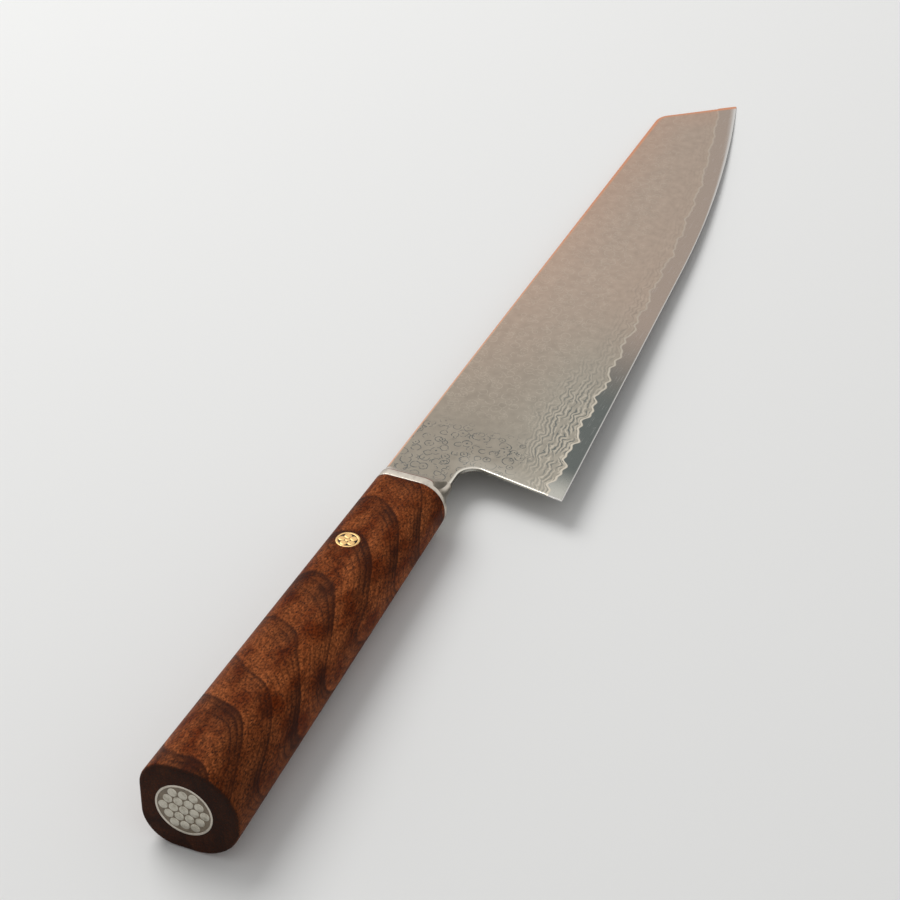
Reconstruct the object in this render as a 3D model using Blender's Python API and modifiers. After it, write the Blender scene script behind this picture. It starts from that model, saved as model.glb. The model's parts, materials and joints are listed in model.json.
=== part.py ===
"""Gyuto kitchen knife: a laminated blade with a clipped tip, a steel bolster and a walnut handle.

Knife frame: X runs along the handle's axis to the tip, +Y points to the spine, and Z = 0 is the middle
plane of the blade. X = 0 is the front edge of the bolster's collar. The whole knife hangs under one
empty, which lays it down as it rests on a table: on the butt's lower edge and on the blade's point.
"""
import math

import bmesh
import bpy
from mathutils import Vector
from mathutils.geometry import delaunay_2d_cdt

MM = 0.001

# Blade outline
BLADE_LENGTH = 210.0 * MM
NOSE_TO_HEEL = 5.5 * MM
HEEL_HEIGHT = 46.0 * MM
SPINE_STEP = 1.7 * MM
SPINE_FALL = math.radians(1.0)
EDGE_RISE = math.radians(3.6)
BELLY_LENGTH = 98.7 * MM
BELLY_RISE = 9.3 * MM
BELLY_POWER = 2.1
CLIP_ANGLE = math.radians(51.5)
CLIP_CORNER_RADIUS = 3.0 * MM
HEEL_RAKE = math.radians(9.0)
NECK_INSET = 3.0 * MM
CHOIL_RADIUS = 4.6 * MM

# Blade thickness, as a calliper reads it: on the spine at the bolster, on the spine at the tip, and at
# the thinnest place right above the edge bevel
SPINE_THICKNESS = 2.0 * MM
TIP_THICKNESS = 1.12 * MM
EDGE_THICKNESS = 0.15 * MM
BEVEL_WIDTH = 0.9 * MM
CORE_SHARE = 0.45

# Wavy line where the cladding ends and the core shows, measured up from the cutting edge
CLAD_LINE_HEEL = 4.2 * MM
CLAD_LINE_TIP = 5.6 * MM
CLAD_WAVE_HEEL = 0.7 * MM
CLAD_WAVE_TIP = 0.2 * MM
CLAD_WAVE_LENGTH = 13.5 * MM
# Waves laid over each other: share of the size, waves in one wave length, phase
CLAD_WAVE_PARTS = ((1.0, 1.0, -0.6), (0.5, 2.3, 1.0), (0.35, 3.7, 2.0), (0.35, 0.37, 0.0))

# Tang, hidden in the bolster and the handle
SHOULDER_DEPTH = 3.5 * MM
WOOD_OVER_TANG = 1.5 * MM
WOOD_BEHIND_TANG = 29.0 * MM
STEEL_OVER_PIN = 1.0 * MM
STEEL_UNDER_PIN = 1.8 * MM
TANG_TAPER = math.radians(1.0)
BEDDING_WALL = 0.4 * MM

# Bolster
COLLAR_LENGTH = 2.6 * MM
NOSE_LENGTH = 7.5 * MM
NOSE_LIP = 0.6 * MM
BOLSTER_BEVEL = 0.25 * MM

# Handle, whose section is a rectangle with unlike corners on its spine side and its edge side
HANDLE_LENGTH = 119.0 * MM
FRONT_HALF_WIDTH = 9.6 * MM
FRONT_HALF_HEIGHT = 7.3 * MM
FRONT_SPINE_RADIUS = 3.8 * MM
FRONT_EDGE_RADIUS = 7.0 * MM
BUTT_HALF_WIDTH = 12.2 * MM
BUTT_HALF_HEIGHT = 12.1 * MM
BUTT_SPINE_RADIUS = 8.4 * MM
BUTT_EDGE_RADIUS = 11.6 * MM
BUTT_RIM_RADIUS = 0.9 * MM

# Mosaic pin through the handle and the tang
PIN_SETBACK = 28.9 * MM
PIN_RADIUS = 3.0 * MM
PIN_TUBE_WALL = 0.55 * MM
PIN_OUTER_RODS = 5
PIN_ROD_SPACING = 0.08 * MM
PIN_TURN = math.radians(20.0)

# Mosaic cap in the butt: rods on a hexagonal lattice in a ring
CAP_Y = 1.2 * MM
CAP_RADIUS = 7.1 * MM
CAP_RING_WALL = 0.55 * MM
CAP_DEPTH = 4.0 * MM
CAP_ROD_RADIUS = 1.18 * MM
CAP_ROD_SPACING = 0.2 * MM
LATTICE_ANGLE = math.radians(60.0)

# Fits
LAMINATE_GAP = 0.02 * MM
SLOT_GAP = 0.05 * MM
ROUND_GAP = 0.06 * MM
ROD_GAP = 0.03 * MM
FACE_GAP = 0.05 * MM

# Smoothness of round shapes and curves
PIN_SIDES = 40
CAP_SIDES = 56
ROD_SIDES = 14
CORNER_STEPS = 9
BELLY_STEPS = 36
CLIP_CORNER_STEPS = 6
CHOIL_STEPS = 8
RIM_STEPS = 3
CLAD_WAVE_STEPS = 180
SHARP_ANGLE = math.radians(25.0)

# Cutters: how far they pass what they cut, in a tight place and in the open
OVERSHOOT = 1.0 * MM
CUTTER_REACH = 40.0 * MM
MERGE_DISTANCE = 0.0001 * MM

# Worked-out places along the knife
HEEL_X = NOSE_LENGTH + NOSE_TO_HEEL
TIP_X = HEEL_X + BLADE_LENGTH
BELLY_X = TIP_X - BELLY_LENGTH
SHOULDER_X = NOSE_LENGTH - SHOULDER_DEPTH
TAPER_X = NOSE_LENGTH + SLOT_GAP
WOOD_FRONT_X = -COLLAR_LENGTH - FACE_GAP
BUTT_X = WOOD_FRONT_X - HANDLE_LENGTH
PIN_X = WOOD_FRONT_X - PIN_SETBACK
BEDDING_SPREAD = SLOT_GAP + BEDDING_WALL
HANDLE_SLOT_SPREAD = BEDDING_SPREAD + SLOT_GAP
TANG_END_X = BUTT_X + CAP_DEPTH + FACE_GAP + WOOD_BEHIND_TANG + HANDLE_SLOT_SPREAD

# Worked-out heights across the knife
SPINE_Y = FRONT_HALF_WIDTH + SPINE_STEP
NECK_Y = NECK_INSET - FRONT_HALF_WIDTH
HEEL_Y = SPINE_Y - HEEL_X * math.tan(SPINE_FALL) - HEEL_HEIGHT
PIN_HOLE_RADIUS = PIN_RADIUS + ROUND_GAP
TANG_TOP_Y = FRONT_HALF_WIDTH - WOOD_OVER_TANG - HANDLE_SLOT_SPREAD
PIN_Y = TANG_TOP_Y - STEEL_OVER_PIN - PIN_HOLE_RADIUS
SPINE_HALF = 0.5 * SPINE_THICKNESS
DISTAL_TAPER = 0.5 * (SPINE_THICKNESS - TIP_THICKNESS) / (TIP_X - TAPER_X)


def clear_scene():
    """Removes every object, so the script starts from an empty scene."""
    for leftover in list(bpy.data.objects):
        bpy.data.objects.remove(leftover, do_unlink=True)


def make_collection(name):
    """Returns a new collection linked to the scene."""
    collection = bpy.data.collections.new(name)
    bpy.context.scene.collection.children.link(collection)
    return collection


def make_material(name, colour, roughness, metallic):
    """Returns a Principled material with one colour, roughness and metallic value."""
    material = bpy.data.materials.new(name)
    material.use_nodes = True
    shader = material.node_tree.nodes["Principled BSDF"]
    shader.inputs["Base Color"].default_value = (*colour, 1.0)
    shader.inputs["Roughness"].default_value = roughness
    shader.inputs["Metallic"].default_value = metallic
    return material


def add_object(name, bm, material=None):
    """Turns a bmesh into an object: a part with a material, or else a cutter."""
    bmesh.ops.recalc_face_normals(bm, faces=bm.faces)
    mesh = bpy.data.meshes.new(name)
    bm.to_mesh(mesh)
    bm.free()
    piece = bpy.data.objects.new(name, mesh)
    if material is None:
        piece.hide_render = True
        piece.display_type = "WIRE"
        CUTTERS.objects.link(piece)
    else:
        mesh.materials.append(material)
        PARTS.objects.link(piece)
    return piece


def cut(piece, cutter, operation="DIFFERENCE"):
    """Adds an exact Boolean to a piece."""
    boolean = piece.modifiers.new(f"{operation.lower()} {cutter.name}", "BOOLEAN")
    boolean.operation = operation
    boolean.object = cutter
    boolean.solver = "EXACT"


def shade(piece):
    """Shades a piece smooth, with its sharp edges kept."""
    piece.data.shade_smooth()
    piece.data.set_sharp_from_angle(angle=SHARP_ANGLE)


def spine_y(x):
    """Height of the spine, a straight line that falls towards the tip."""
    return SPINE_Y - x * math.tan(SPINE_FALL)


def edge_y(x):
    """Height of the cutting edge: straight from the heel, then a rising belly."""
    rise = (x - HEEL_X) * math.tan(EDGE_RISE)
    along = max(0.0, (x - BELLY_X) / BELLY_LENGTH)
    return HEEL_Y + rise + BELLY_RISE * along**BELLY_POWER


def heel_line_x(y):
    """Place of the raked edge behind the heel at a height."""
    return HEEL_X + (y - HEEL_Y) * math.tan(HEEL_RAKE)


def tang_low_y(x):
    """Height of the tang's edge side, which rises towards its end."""
    return PIN_Y - PIN_HOLE_RADIUS - STEEL_UNDER_PIN + (PIN_X - x) * math.tan(TANG_TAPER)


def clad_line_y(x):
    """Height of the line where the cladding ends, with waves that fade towards the tip."""
    along = (x - HEEL_X) / BLADE_LENGTH
    offset = CLAD_LINE_HEEL + (CLAD_LINE_TIP - CLAD_LINE_HEEL) * along
    size = CLAD_WAVE_HEEL + (CLAD_WAVE_TIP - CLAD_WAVE_HEEL) * along
    turn = math.tau * x / CLAD_WAVE_LENGTH
    wave = sum(share * math.sin(waves * turn + phase) for share, waves, phase in CLAD_WAVE_PARTS)
    return edge_y(x) + offset + size * wave


def belly_places():
    """Places along the belly, from its start to the tip."""
    return [BELLY_X + BELLY_LENGTH * step / BELLY_STEPS for step in range(BELLY_STEPS + 1)]


def grind_slope():
    """Slope of the flat ground faces, the steepest that keeps the edge thickness all along."""
    slopes = []
    for x in [HEEL_X] + belly_places():
        room = 0.5 * (SPINE_THICKNESS - EDGE_THICKNESS) - DISTAL_TAPER * (x - TAPER_X)
        slopes.append(room / (SPINE_Y - edge_y(x) - BEVEL_WIDTH))
    return min(slopes)


GRIND_SLOPE = grind_slope()


def face_half(x, y):
    """Half of the thickness between the two flat ground faces, without the edge bevel."""
    thinning = DISTAL_TAPER * max(0.0, x - TAPER_X)
    return SPINE_HALF - thinning - GRIND_SLOPE * (SPINE_Y - y)


def half_thickness(x, y):
    """Half of the blade's thickness, which is nil on the cutting edge."""
    if x > SHOULDER_X and y - edge_y(x) < 0.5 * BEVEL_WIDTH:
        return 0.0
    return face_half(x, y)


def core_half(x, y):
    """Half of the core's thickness under the cladding."""
    return CORE_SHARE * face_half(x, y)


def fillet(before, corner, after, radius, steps):
    """Returns the arc that rounds a corner between two straight lines."""
    back = (before - corner).normalized()
    ahead = (after - corner).normalized()
    half_angle = 0.5 * back.angle(ahead)
    reach = radius / math.tan(half_angle)
    centre = corner + (back + ahead).normalized() * (radius / math.sin(half_angle))
    start = corner + back * reach - centre
    end = corner + ahead * reach - centre
    turn = start.angle_signed(end)
    points = []
    for step in range(steps + 1):
        angle = -turn * step / steps
        rotated = Vector((
            start.x * math.cos(angle) - start.y * math.sin(angle),
            start.x * math.sin(angle) + start.y * math.cos(angle),
        ))
        points.append(centre + rotated)
    return points


def tip_point():
    """The point of the blade, where the clip meets the edge."""
    return Vector((TIP_X, edge_y(TIP_X)))


def clip_corner():
    """Corner between the spine and the clip, before it is rounded."""
    tip = tip_point()
    slope = math.tan(CLIP_ANGLE)
    x = (tip.y + slope * tip.x - SPINE_Y) / (slope - math.tan(SPINE_FALL))
    return Vector((x, spine_y(x)))


def bevel_end_at_clip():
    """Point on the clip where the edge bevel ends."""
    along_clip = Vector((-math.cos(CLIP_ANGLE), math.sin(CLIP_ANGLE)))
    return tip_point() + BEVEL_WIDTH * along_clip


def bevel_end_at_heel():
    """Point on the heel's raked edge where the edge bevel ends."""
    y = HEEL_Y + BEVEL_WIDTH
    return Vector((heel_line_x(y), y))


def bevel_line():
    """Upper border of the edge bevel, from the heel to the clip."""
    end = bevel_end_at_clip()
    along = [Vector((x, edge_y(x) + BEVEL_WIDTH)) for x in belly_places() if x < end.x]
    return [bevel_end_at_heel(), *along, end]


def blank_outline():
    """Outline of the whole blade blank, from the tang's end along the spine to the tip and back."""
    shoulder = Vector((SHOULDER_X, spine_y(SHOULDER_X)))
    neck = Vector((SHOULDER_X, NECK_Y))
    choil_corner = Vector((heel_line_x(NECK_Y), NECK_Y))
    heel = Vector((HEEL_X, HEEL_Y))
    outline = [
        Vector((TANG_END_X, tang_low_y(TANG_END_X))),
        Vector((TANG_END_X, TANG_TOP_Y)),
        Vector((SHOULDER_X, TANG_TOP_Y)),
        shoulder,
        Vector((TAPER_X, spine_y(TAPER_X))),
    ]
    outline += fillet(shoulder, clip_corner(), tip_point(), CLIP_CORNER_RADIUS, CLIP_CORNER_STEPS)
    outline.append(bevel_end_at_clip())
    outline += [Vector((x, edge_y(x))) for x in reversed(belly_places())]
    outline += [heel, bevel_end_at_heel()]
    outline += fillet(heel, choil_corner, neck, CHOIL_RADIUS, CHOIL_STEPS)
    outline += [Vector((TAPER_X, NECK_Y)), neck, Vector((SHOULDER_X, tang_low_y(SHOULDER_X)))]
    return outline


def plate(outline, folds, low, high):
    """Returns a closed plate: an outline filled with triangles, between a lower and an upper height.

    Folds are lines inside the outline. Where both heights meet, the plate has a sharp edge.
    """
    points = list(outline)
    edges = []
    for fold in folds:
        first = len(points)
        points += fold
        edges += [(first + step, first + step + 1) for step in range(len(fold) - 1)]
    border = [list(range(len(outline)))]
    flat, _, faces, _, _, _ = delaunay_2d_cdt(points, edges, border, 1, 0.1 * MERGE_DISTANCE)
    bm = bmesh.new()
    top = [bm.verts.new((p.x, p.y, high(p.x, p.y))) for p in flat]
    bottom = [bm.verts.new((p.x, p.y, low(p.x, p.y))) for p in flat]
    used = set()
    for face in faces:
        bm.faces.new([top[i] for i in face])
        bm.faces.new([bottom[i] for i in reversed(face)])
        used.update(zip(face, face[1:] + face[:1]))
    for start, end in sorted(used):
        if (end, start) not in used:
            bm.faces.new((top[end], top[start], bottom[start], bottom[end]))
    bmesh.ops.remove_doubles(bm, verts=bm.verts, dist=MERGE_DISTANCE)
    bmesh.ops.dissolve_degenerate(bm, edges=bm.edges, dist=MERGE_DISTANCE)
    return bm


def blade_blank(name, material):
    """The blank's full body between its two ground faces, with a sharp edge."""
    taper_start = [Vector((TAPER_X, spine_y(TAPER_X))), Vector((TAPER_X, NECK_Y))]

    def lower(x, y):
        return -half_thickness(x, y)

    bm = plate(blank_outline(), [bevel_line(), taper_start], lower, half_thickness)
    return add_object(name, bm, material)


def clad_pocket(name, side, gap):
    """Cutter over the clad area on one side (+1 right, -1 left), a gap outside the core's face."""
    start = HEEL_X - CHOIL_RADIUS
    end = TIP_X + CHOIL_RADIUS
    far_x = BUTT_X - CUTTER_REACH
    far_y = SPINE_Y + CUTTER_REACH
    region = []
    for step in range(CLAD_WAVE_STEPS + 1):
        x = start + (end - start) * step / CLAD_WAVE_STEPS
        region.append(Vector((x, clad_line_y(x) + gap)))
    low_y = region[0].y
    region += [Vector((end, far_y)), Vector((far_x, far_y)), Vector((far_x, low_y))]
    taper_start = [Vector((TAPER_X, low_y)), Vector((TAPER_X, far_y))]

    def near(x, y):
        return side * (core_half(x, y) + gap)

    def far(x, y):
        return side * CUTTER_REACH

    return add_object(name, plate(region, [taper_start], near, far))


def section(half_width, half_height, spine_radius, edge_radius):
    """Cross-section as (y, z) points: a rectangle with unlike corners on spine and edge side."""
    spine_radius = min(spine_radius, half_height, half_width)
    edge_radius = min(edge_radius, half_height, half_width)
    corners = (
        (1, 1, spine_radius, 0.0),
        (-1, 1, edge_radius, 90.0),
        (-1, -1, edge_radius, 180.0),
        (1, -1, spine_radius, 270.0),
    )
    points = []
    for side_y, side_z, radius, first in corners:
        centre_y = side_y * (half_width - radius)
        centre_z = side_z * (half_height - radius)
        for step in range(CORNER_STEPS + 1):
            angle = math.radians(first + 90.0 * step / CORNER_STEPS)
            points.append((centre_y + radius * math.cos(angle), centre_z + radius * math.sin(angle)))
    return points


def along_handle(x, front, butt):
    """A size of the handle at a place, between its values at the wood's front and at the butt."""
    share = (x - WOOD_FRONT_X) / (BUTT_X - WOOD_FRONT_X)
    return front + (butt - front) * share


def handle_half_height(x):
    """Height of the handle's upper flat above the middle plane."""
    return along_handle(x, FRONT_HALF_HEIGHT, BUTT_HALF_HEIGHT)


def handle_section(x):
    """Cross-section of the handle and the collar at a place along the axis."""
    return section(
        along_handle(x, FRONT_HALF_WIDTH, BUTT_HALF_WIDTH),
        handle_half_height(x),
        along_handle(x, FRONT_SPINE_RADIUS, BUTT_SPINE_RADIUS),
        along_handle(x, FRONT_EDGE_RADIUS, BUTT_EDGE_RADIUS),
    )


def nose_section():
    """Cross-section of the nose's front end, a lip round the blade's neck."""
    lip = NOSE_LIP + SLOT_GAP
    low = NECK_Y - lip
    high = spine_y(NOSE_LENGTH)
    half_height = SPINE_HALF + lip
    centre = 0.5 * (high + low)
    points = section(0.5 * (high - low), half_height, half_height, half_height)
    return [(y + centre, z) for y, z in points]


def ring_at(x, points):
    """Sets a cross-section of (y, z) points at a place along the axis."""
    return [(x, y, z) for y, z in points]


def loft(rings):
    """Returns a closed body through rings of (x, y, z) points, with flat caps."""
    bm = bmesh.new()
    rows = [[bm.verts.new(point) for point in ring] for ring in rings]
    count = len(rings[0])
    for row, following in zip(rows, rows[1:]):
        for step in range(count):
            ahead = (step + 1) % count
            bm.faces.new((row[step], row[ahead], following[ahead], following[step]))
    bm.faces.new(rows[0])
    bm.faces.new(rows[-1])
    return bm


def block(low, high):
    """Returns a box between two corners, from the cube primitive."""
    bm = bmesh.new()
    bmesh.ops.create_cube(bm, size=1.0)
    low = Vector(low)
    high = Vector(high)
    bmesh.ops.scale(bm, verts=bm.verts, vec=high - low)
    bmesh.ops.translate(bm, verts=bm.verts, vec=0.5 * (low + high))
    return bm


def tang_block(start_x, end_x, spread):
    """Block round the tang that follows its tapered sides at a spread."""
    half = SPINE_HALF + spread
    high = TANG_TOP_Y + spread
    rings = []
    for x in (start_x, end_x):
        low = tang_low_y(x) - spread
        rings.append(ring_at(x, [(low, -half), (high, -half), (high, half), (low, half)]))
    return loft(rings)


def cylinder(radius, sides, low, high):
    """Returns a capped cylinder along Z between two heights."""
    bm = bmesh.new()
    bmesh.ops.create_cone(
        bm, cap_ends=True, segments=sides, radius1=radius, radius2=radius, depth=high - low
    )
    bmesh.ops.translate(bm, verts=bm.verts, vec=(0.0, 0.0, 0.5 * (low + high)))
    return bm


def pin_piece(radius, sides=PIN_SIDES, x=PIN_X, y=PIN_Y, proud=0.0):
    """Cylinder across the handle, sanded flush with its two sloping flats."""
    bm = cylinder(radius, sides, -OVERSHOOT, OVERSHOOT)
    bmesh.ops.translate(bm, verts=bm.verts, vec=(x, y, 0.0))
    for vert in bm.verts:
        reach = handle_half_height(vert.co.x) + proud
        vert.co.z = math.copysign(reach, vert.co.z)
    return bm


def cap_piece(radius, sides=CAP_SIDES, y=CAP_Y, z=0.0, depth=CAP_DEPTH, proud=0.0):
    """Cylinder in the butt, its axis along the handle, from the butt's face inwards."""
    bm = cylinder(radius, sides, -proud, depth)
    turn = Vector((0.0, 0.0, 1.0)).rotation_difference(Vector((1.0, 0.0, 0.0)))
    bmesh.ops.rotate(bm, verts=bm.verts, cent=(0.0, 0.0, 0.0), matrix=turn.to_matrix())
    bmesh.ops.translate(bm, verts=bm.verts, vec=(BUTT_X, y, z))
    return bm


def build_blade(tang_hole):
    """Core and two claddings, all cut from one laminated blank, with the pin's hole."""
    core = blade_blank("blade_core", FINISHES["core"])
    right = blade_blank("cladding_right", FINISHES["cladding"])
    left = blade_blank("cladding_left", FINISHES["cladding"])
    cut(core, clad_pocket("right pocket", 1, 0.0))
    cut(core, clad_pocket("left pocket", -1, 0.0))
    cut(right, clad_pocket("right layer", 1, LAMINATE_GAP), "INTERSECT")
    cut(left, clad_pocket("left layer", -1, LAMINATE_GAP), "INTERSECT")
    for layer in (core, right, left):
        cut(layer, tang_hole)
        shade(layer)
    return [core, right, left]


def build_bolster():
    """Collar with the handle's section and a nose that slopes down to the blade's neck."""
    rings = [
        ring_at(-COLLAR_LENGTH, handle_section(-COLLAR_LENGTH)),
        ring_at(0.0, handle_section(0.0)),
        ring_at(NOSE_LENGTH, nose_section()),
    ]
    bolster = add_object("bolster", loft(rings), FINISHES["stainless"])
    bevel = bolster.modifiers.new("eased edges", "BEVEL")
    bevel.width = BOLSTER_BEVEL
    bevel.segments = 2
    bevel.limit_method = "ANGLE"
    bevel.angle_limit = SHARP_ANGLE
    half = SPINE_HALF + SLOT_GAP
    neck_slot = block(
        (SHOULDER_X - SLOT_GAP, NECK_Y - SLOT_GAP, -half),
        (NOSE_LENGTH + CUTTER_REACH, SPINE_Y + CUTTER_REACH, half),
    )
    tang_slot = tang_block(-COLLAR_LENGTH - CUTTER_REACH, SHOULDER_X + OVERSHOOT, SLOT_GAP)
    cut(bolster, add_object("neck slot", neck_slot))
    cut(bolster, add_object("tang slot", tang_slot))
    shade(bolster)
    return bolster


def round_butt_rim(handle):
    """Rounds the rim of the butt's end face with a weighted Bevel."""
    weights = handle.data.attributes.new("bevel_weight_edge", "FLOAT", "EDGE")
    for edge in handle.data.edges:
        ends = [handle.data.vertices[i].co.x for i in edge.vertices]
        if max(ends) < BUTT_X + OVERSHOOT:
            weights.data[edge.index].value = 1.0
    rim = handle.modifiers.new("rounded butt rim", "BEVEL")
    rim.width = BUTT_RIM_RADIUS
    rim.segments = RIM_STEPS
    rim.limit_method = "WEIGHT"


def build_handle():
    """Walnut block with the tang's slot, the pin's bore and the cap's recess."""
    rings = [
        ring_at(WOOD_FRONT_X, handle_section(WOOD_FRONT_X)),
        ring_at(BUTT_X, handle_section(BUTT_X)),
    ]
    handle = add_object("handle", loft(rings), FINISHES["wood"])
    round_butt_rim(handle)
    spread = HANDLE_SLOT_SPREAD
    slot = tang_block(WOOD_FRONT_X + CUTTER_REACH, TANG_END_X - spread, spread)
    bore = pin_piece(PIN_HOLE_RADIUS, proud=OVERSHOOT)
    recess = cap_piece(CAP_RADIUS + ROUND_GAP, depth=CAP_DEPTH + FACE_GAP, proud=OVERSHOOT)
    cut(handle, add_object("handle slot", slot))
    cut(handle, add_object("handle bore", bore))
    cut(handle, add_object("cap recess", recess))
    shade(handle)
    return handle


def build_bedding(tang_hole):
    """Cured epoxy that fills the slot round the tang."""
    spread = BEDDING_SPREAD
    outer = tang_block(WOOD_FRONT_X, TANG_END_X - spread, spread)
    inner = tang_block(WOOD_FRONT_X + CUTTER_REACH, TANG_END_X - SLOT_GAP, SLOT_GAP)
    bedding = add_object("tang_bedding", outer, FINISHES["epoxy"])
    cut(bedding, add_object("tang space", inner))
    cut(bedding, tang_hole)
    shade(bedding)
    return bedding


def pin_rod_places():
    """Rods in the pin as (name, x, y, radius): one in the middle and a packed ring round it."""
    bore = PIN_RADIUS - PIN_TUBE_WALL
    lean = math.sin(math.pi / PIN_OUTER_RODS)
    radius = bore * lean / (1.0 + lean) - PIN_ROD_SPACING
    reach = bore - radius - PIN_ROD_SPACING
    rods = [("pin_centre_rod", PIN_X, PIN_Y, reach - radius - PIN_ROD_SPACING)]
    for index in range(PIN_OUTER_RODS):
        angle = PIN_TURN + math.tau * index / PIN_OUTER_RODS
        x = PIN_X + reach * math.cos(angle)
        y = PIN_Y + reach * math.sin(angle)
        rods.append((f"pin_outer_rod_{index + 1}", x, y, radius))
    return rods


def build_pin():
    """Mosaic pin: a brass tube, five rods round a thinner one, and dark resin between them."""
    bore = PIN_RADIUS - PIN_TUBE_WALL
    tube = add_object("pin_tube", pin_piece(PIN_RADIUS), FINISHES["brass"])
    resin = add_object("pin_resin", pin_piece(bore - ROD_GAP), FINISHES["dark resin"])
    cut(tube, add_object("tube bore", pin_piece(bore, proud=OVERSHOOT)))
    pieces = [tube, resin]
    for name, x, y, radius in pin_rod_places():
        rod = pin_piece(radius, ROD_SIDES, x, y)
        hole = pin_piece(radius + ROD_GAP, ROD_SIDES, x, y, OVERSHOOT)
        pieces.append(add_object(name, rod, FINISHES["brass"]))
        cut(resin, add_object(f"hole for {name}", hole))
    for piece in pieces:
        shade(piece)
    return pieces


def cap_rod_places():
    """Centres of the cap's rods: the points of a hexagonal lattice whose rods fit in the ring."""
    pitch = 2.0 * CAP_ROD_RADIUS + CAP_ROD_SPACING
    reach = CAP_RADIUS - CAP_RING_WALL - CAP_ROD_RADIUS - CAP_ROD_SPACING
    count = math.ceil(2.0 * reach / pitch)
    places = []
    for row in range(-count, count + 1):
        for column in range(-count, count + 1):
            y = pitch * (column + row * math.cos(LATTICE_ANGLE))
            z = pitch * row * math.sin(LATTICE_ANGLE)
            if math.hypot(y, z) <= reach:
                places.append((CAP_Y + y, z))
    return places


def build_cap():
    """Mosaic cap: a steel ring, rods on a hexagonal lattice, and pale resin between them."""
    bore = CAP_RADIUS - CAP_RING_WALL
    ring = add_object("cap_ring", cap_piece(CAP_RADIUS), FINISHES["stainless"])
    resin = add_object("cap_resin", cap_piece(bore - ROD_GAP), FINISHES["tan resin"])
    through = CAP_DEPTH + OVERSHOOT
    cut(ring, add_object("ring bore", cap_piece(bore, depth=through, proud=OVERSHOOT)))
    pieces = [ring, resin]
    for index, (y, z) in enumerate(cap_rod_places(), start=1):
        rod = cap_piece(CAP_ROD_RADIUS, ROD_SIDES, y, z)
        hole = cap_piece(CAP_ROD_RADIUS + ROD_GAP, ROD_SIDES, y, z, through, OVERSHOOT)
        pieces.append(add_object(f"cap_rod_{index:02d}", rod, FINISHES["silver"]))
        cut(resin, add_object(f"hole for cap_rod_{index:02d}", hole))
    for piece in pieces:
        shade(piece)
    return pieces


def lay_down(pieces):
    """Hangs every piece under one empty, tilted as the knife lies, centred on its footprint.

    The knife rests on the butt's lower edge and on the lower face's corner beside the tip.
    """
    corner = bevel_end_at_clip()
    corner_half = face_half(*corner)
    tilt = math.atan2(BUTT_HALF_HEIGHT - corner_half, corner.x - BUTT_X)
    back = BUTT_X * math.cos(tilt) - BUTT_HALF_HEIGHT * math.sin(tilt)
    front = TIP_X * math.cos(tilt)
    side = max(spine_y(SHOULDER_X), FRONT_HALF_WIDTH, BUTT_HALF_WIDTH)
    rest = bpy.data.objects.new("rest_pose", None)
    PARTS.objects.link(rest)
    rest.rotation_euler = (0.0, tilt, 0.0)
    rest.location = (
        -0.5 * (back + front),
        -0.5 * (side + HEEL_Y),
        corner.x * math.sin(tilt) + corner_half * math.cos(tilt),
    )
    for piece in pieces + list(CUTTERS.objects):
        piece.parent = rest


clear_scene()
PARTS = make_collection("gyuto_knife")
CUTTERS = make_collection("cutters")
FINISHES = {
    "core": make_material("core steel", (0.45, 0.44, 0.42), 0.25, 1.0),
    "cladding": make_material("damascus cladding", (0.40, 0.36, 0.31), 0.38, 1.0),
    "stainless": make_material("satin stainless", (0.60, 0.58, 0.54), 0.25, 1.0),
    "wood": make_material("walnut", (0.19, 0.06, 0.03), 0.45, 0.0),
    "epoxy": make_material("cured epoxy", (0.25, 0.22, 0.16), 0.3, 0.0),
    "brass": make_material("pale brass", (0.86, 0.62, 0.25), 0.3, 1.0),
    "dark resin": make_material("dark resin", (0.02, 0.015, 0.01), 0.3, 0.0),
    "tan resin": make_material("tan resin", (0.45, 0.33, 0.18), 0.35, 0.0),
    "silver": make_material("nickel silver", (0.78, 0.75, 0.66), 0.28, 1.0),
}
TANG_HOLE = add_object("tang hole", pin_piece(PIN_HOLE_RADIUS, proud=OVERSHOOT))
lay_down([
    *build_blade(TANG_HOLE),
    build_bolster(),
    build_handle(),
    build_bedding(TANG_HOLE),
    *build_pin(),
    *build_cap(),
])
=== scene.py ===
"""Looks of a gyuto kitchen knife: ground layered blade, satin bolster, walnut grip and mosaic inlays.

All shapes are worked out in the knife's own frame, in millimetres: x runs along the handle's axis to the
tip, y points to the spine, and z = 0 is the blade's middle plane. KnifeFrame carries them to the frame of
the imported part.
"""
import functools
import json
import logging
import math
from collections.abc import Callable, Sequence
from dataclasses import dataclass, field, replace
from enum import Enum

import bmesh
import bpy
import numpy as np
from mathutils import Euler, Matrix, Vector


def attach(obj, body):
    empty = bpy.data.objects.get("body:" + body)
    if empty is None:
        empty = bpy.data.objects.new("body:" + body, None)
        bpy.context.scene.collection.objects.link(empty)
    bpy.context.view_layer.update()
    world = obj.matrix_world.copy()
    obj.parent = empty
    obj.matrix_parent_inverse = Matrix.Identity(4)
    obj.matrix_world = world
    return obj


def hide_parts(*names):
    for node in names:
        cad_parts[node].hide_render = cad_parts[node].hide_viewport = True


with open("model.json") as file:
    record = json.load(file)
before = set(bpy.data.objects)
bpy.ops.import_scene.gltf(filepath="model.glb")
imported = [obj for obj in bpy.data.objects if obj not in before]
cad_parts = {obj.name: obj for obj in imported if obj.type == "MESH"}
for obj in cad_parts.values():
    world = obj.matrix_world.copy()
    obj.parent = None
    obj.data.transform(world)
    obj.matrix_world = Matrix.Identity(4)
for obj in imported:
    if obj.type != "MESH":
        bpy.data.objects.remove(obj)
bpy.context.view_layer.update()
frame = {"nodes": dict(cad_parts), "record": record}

MM = 0.001
BODY = "root"
LOG = logging.getLogger("gyuto")


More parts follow.
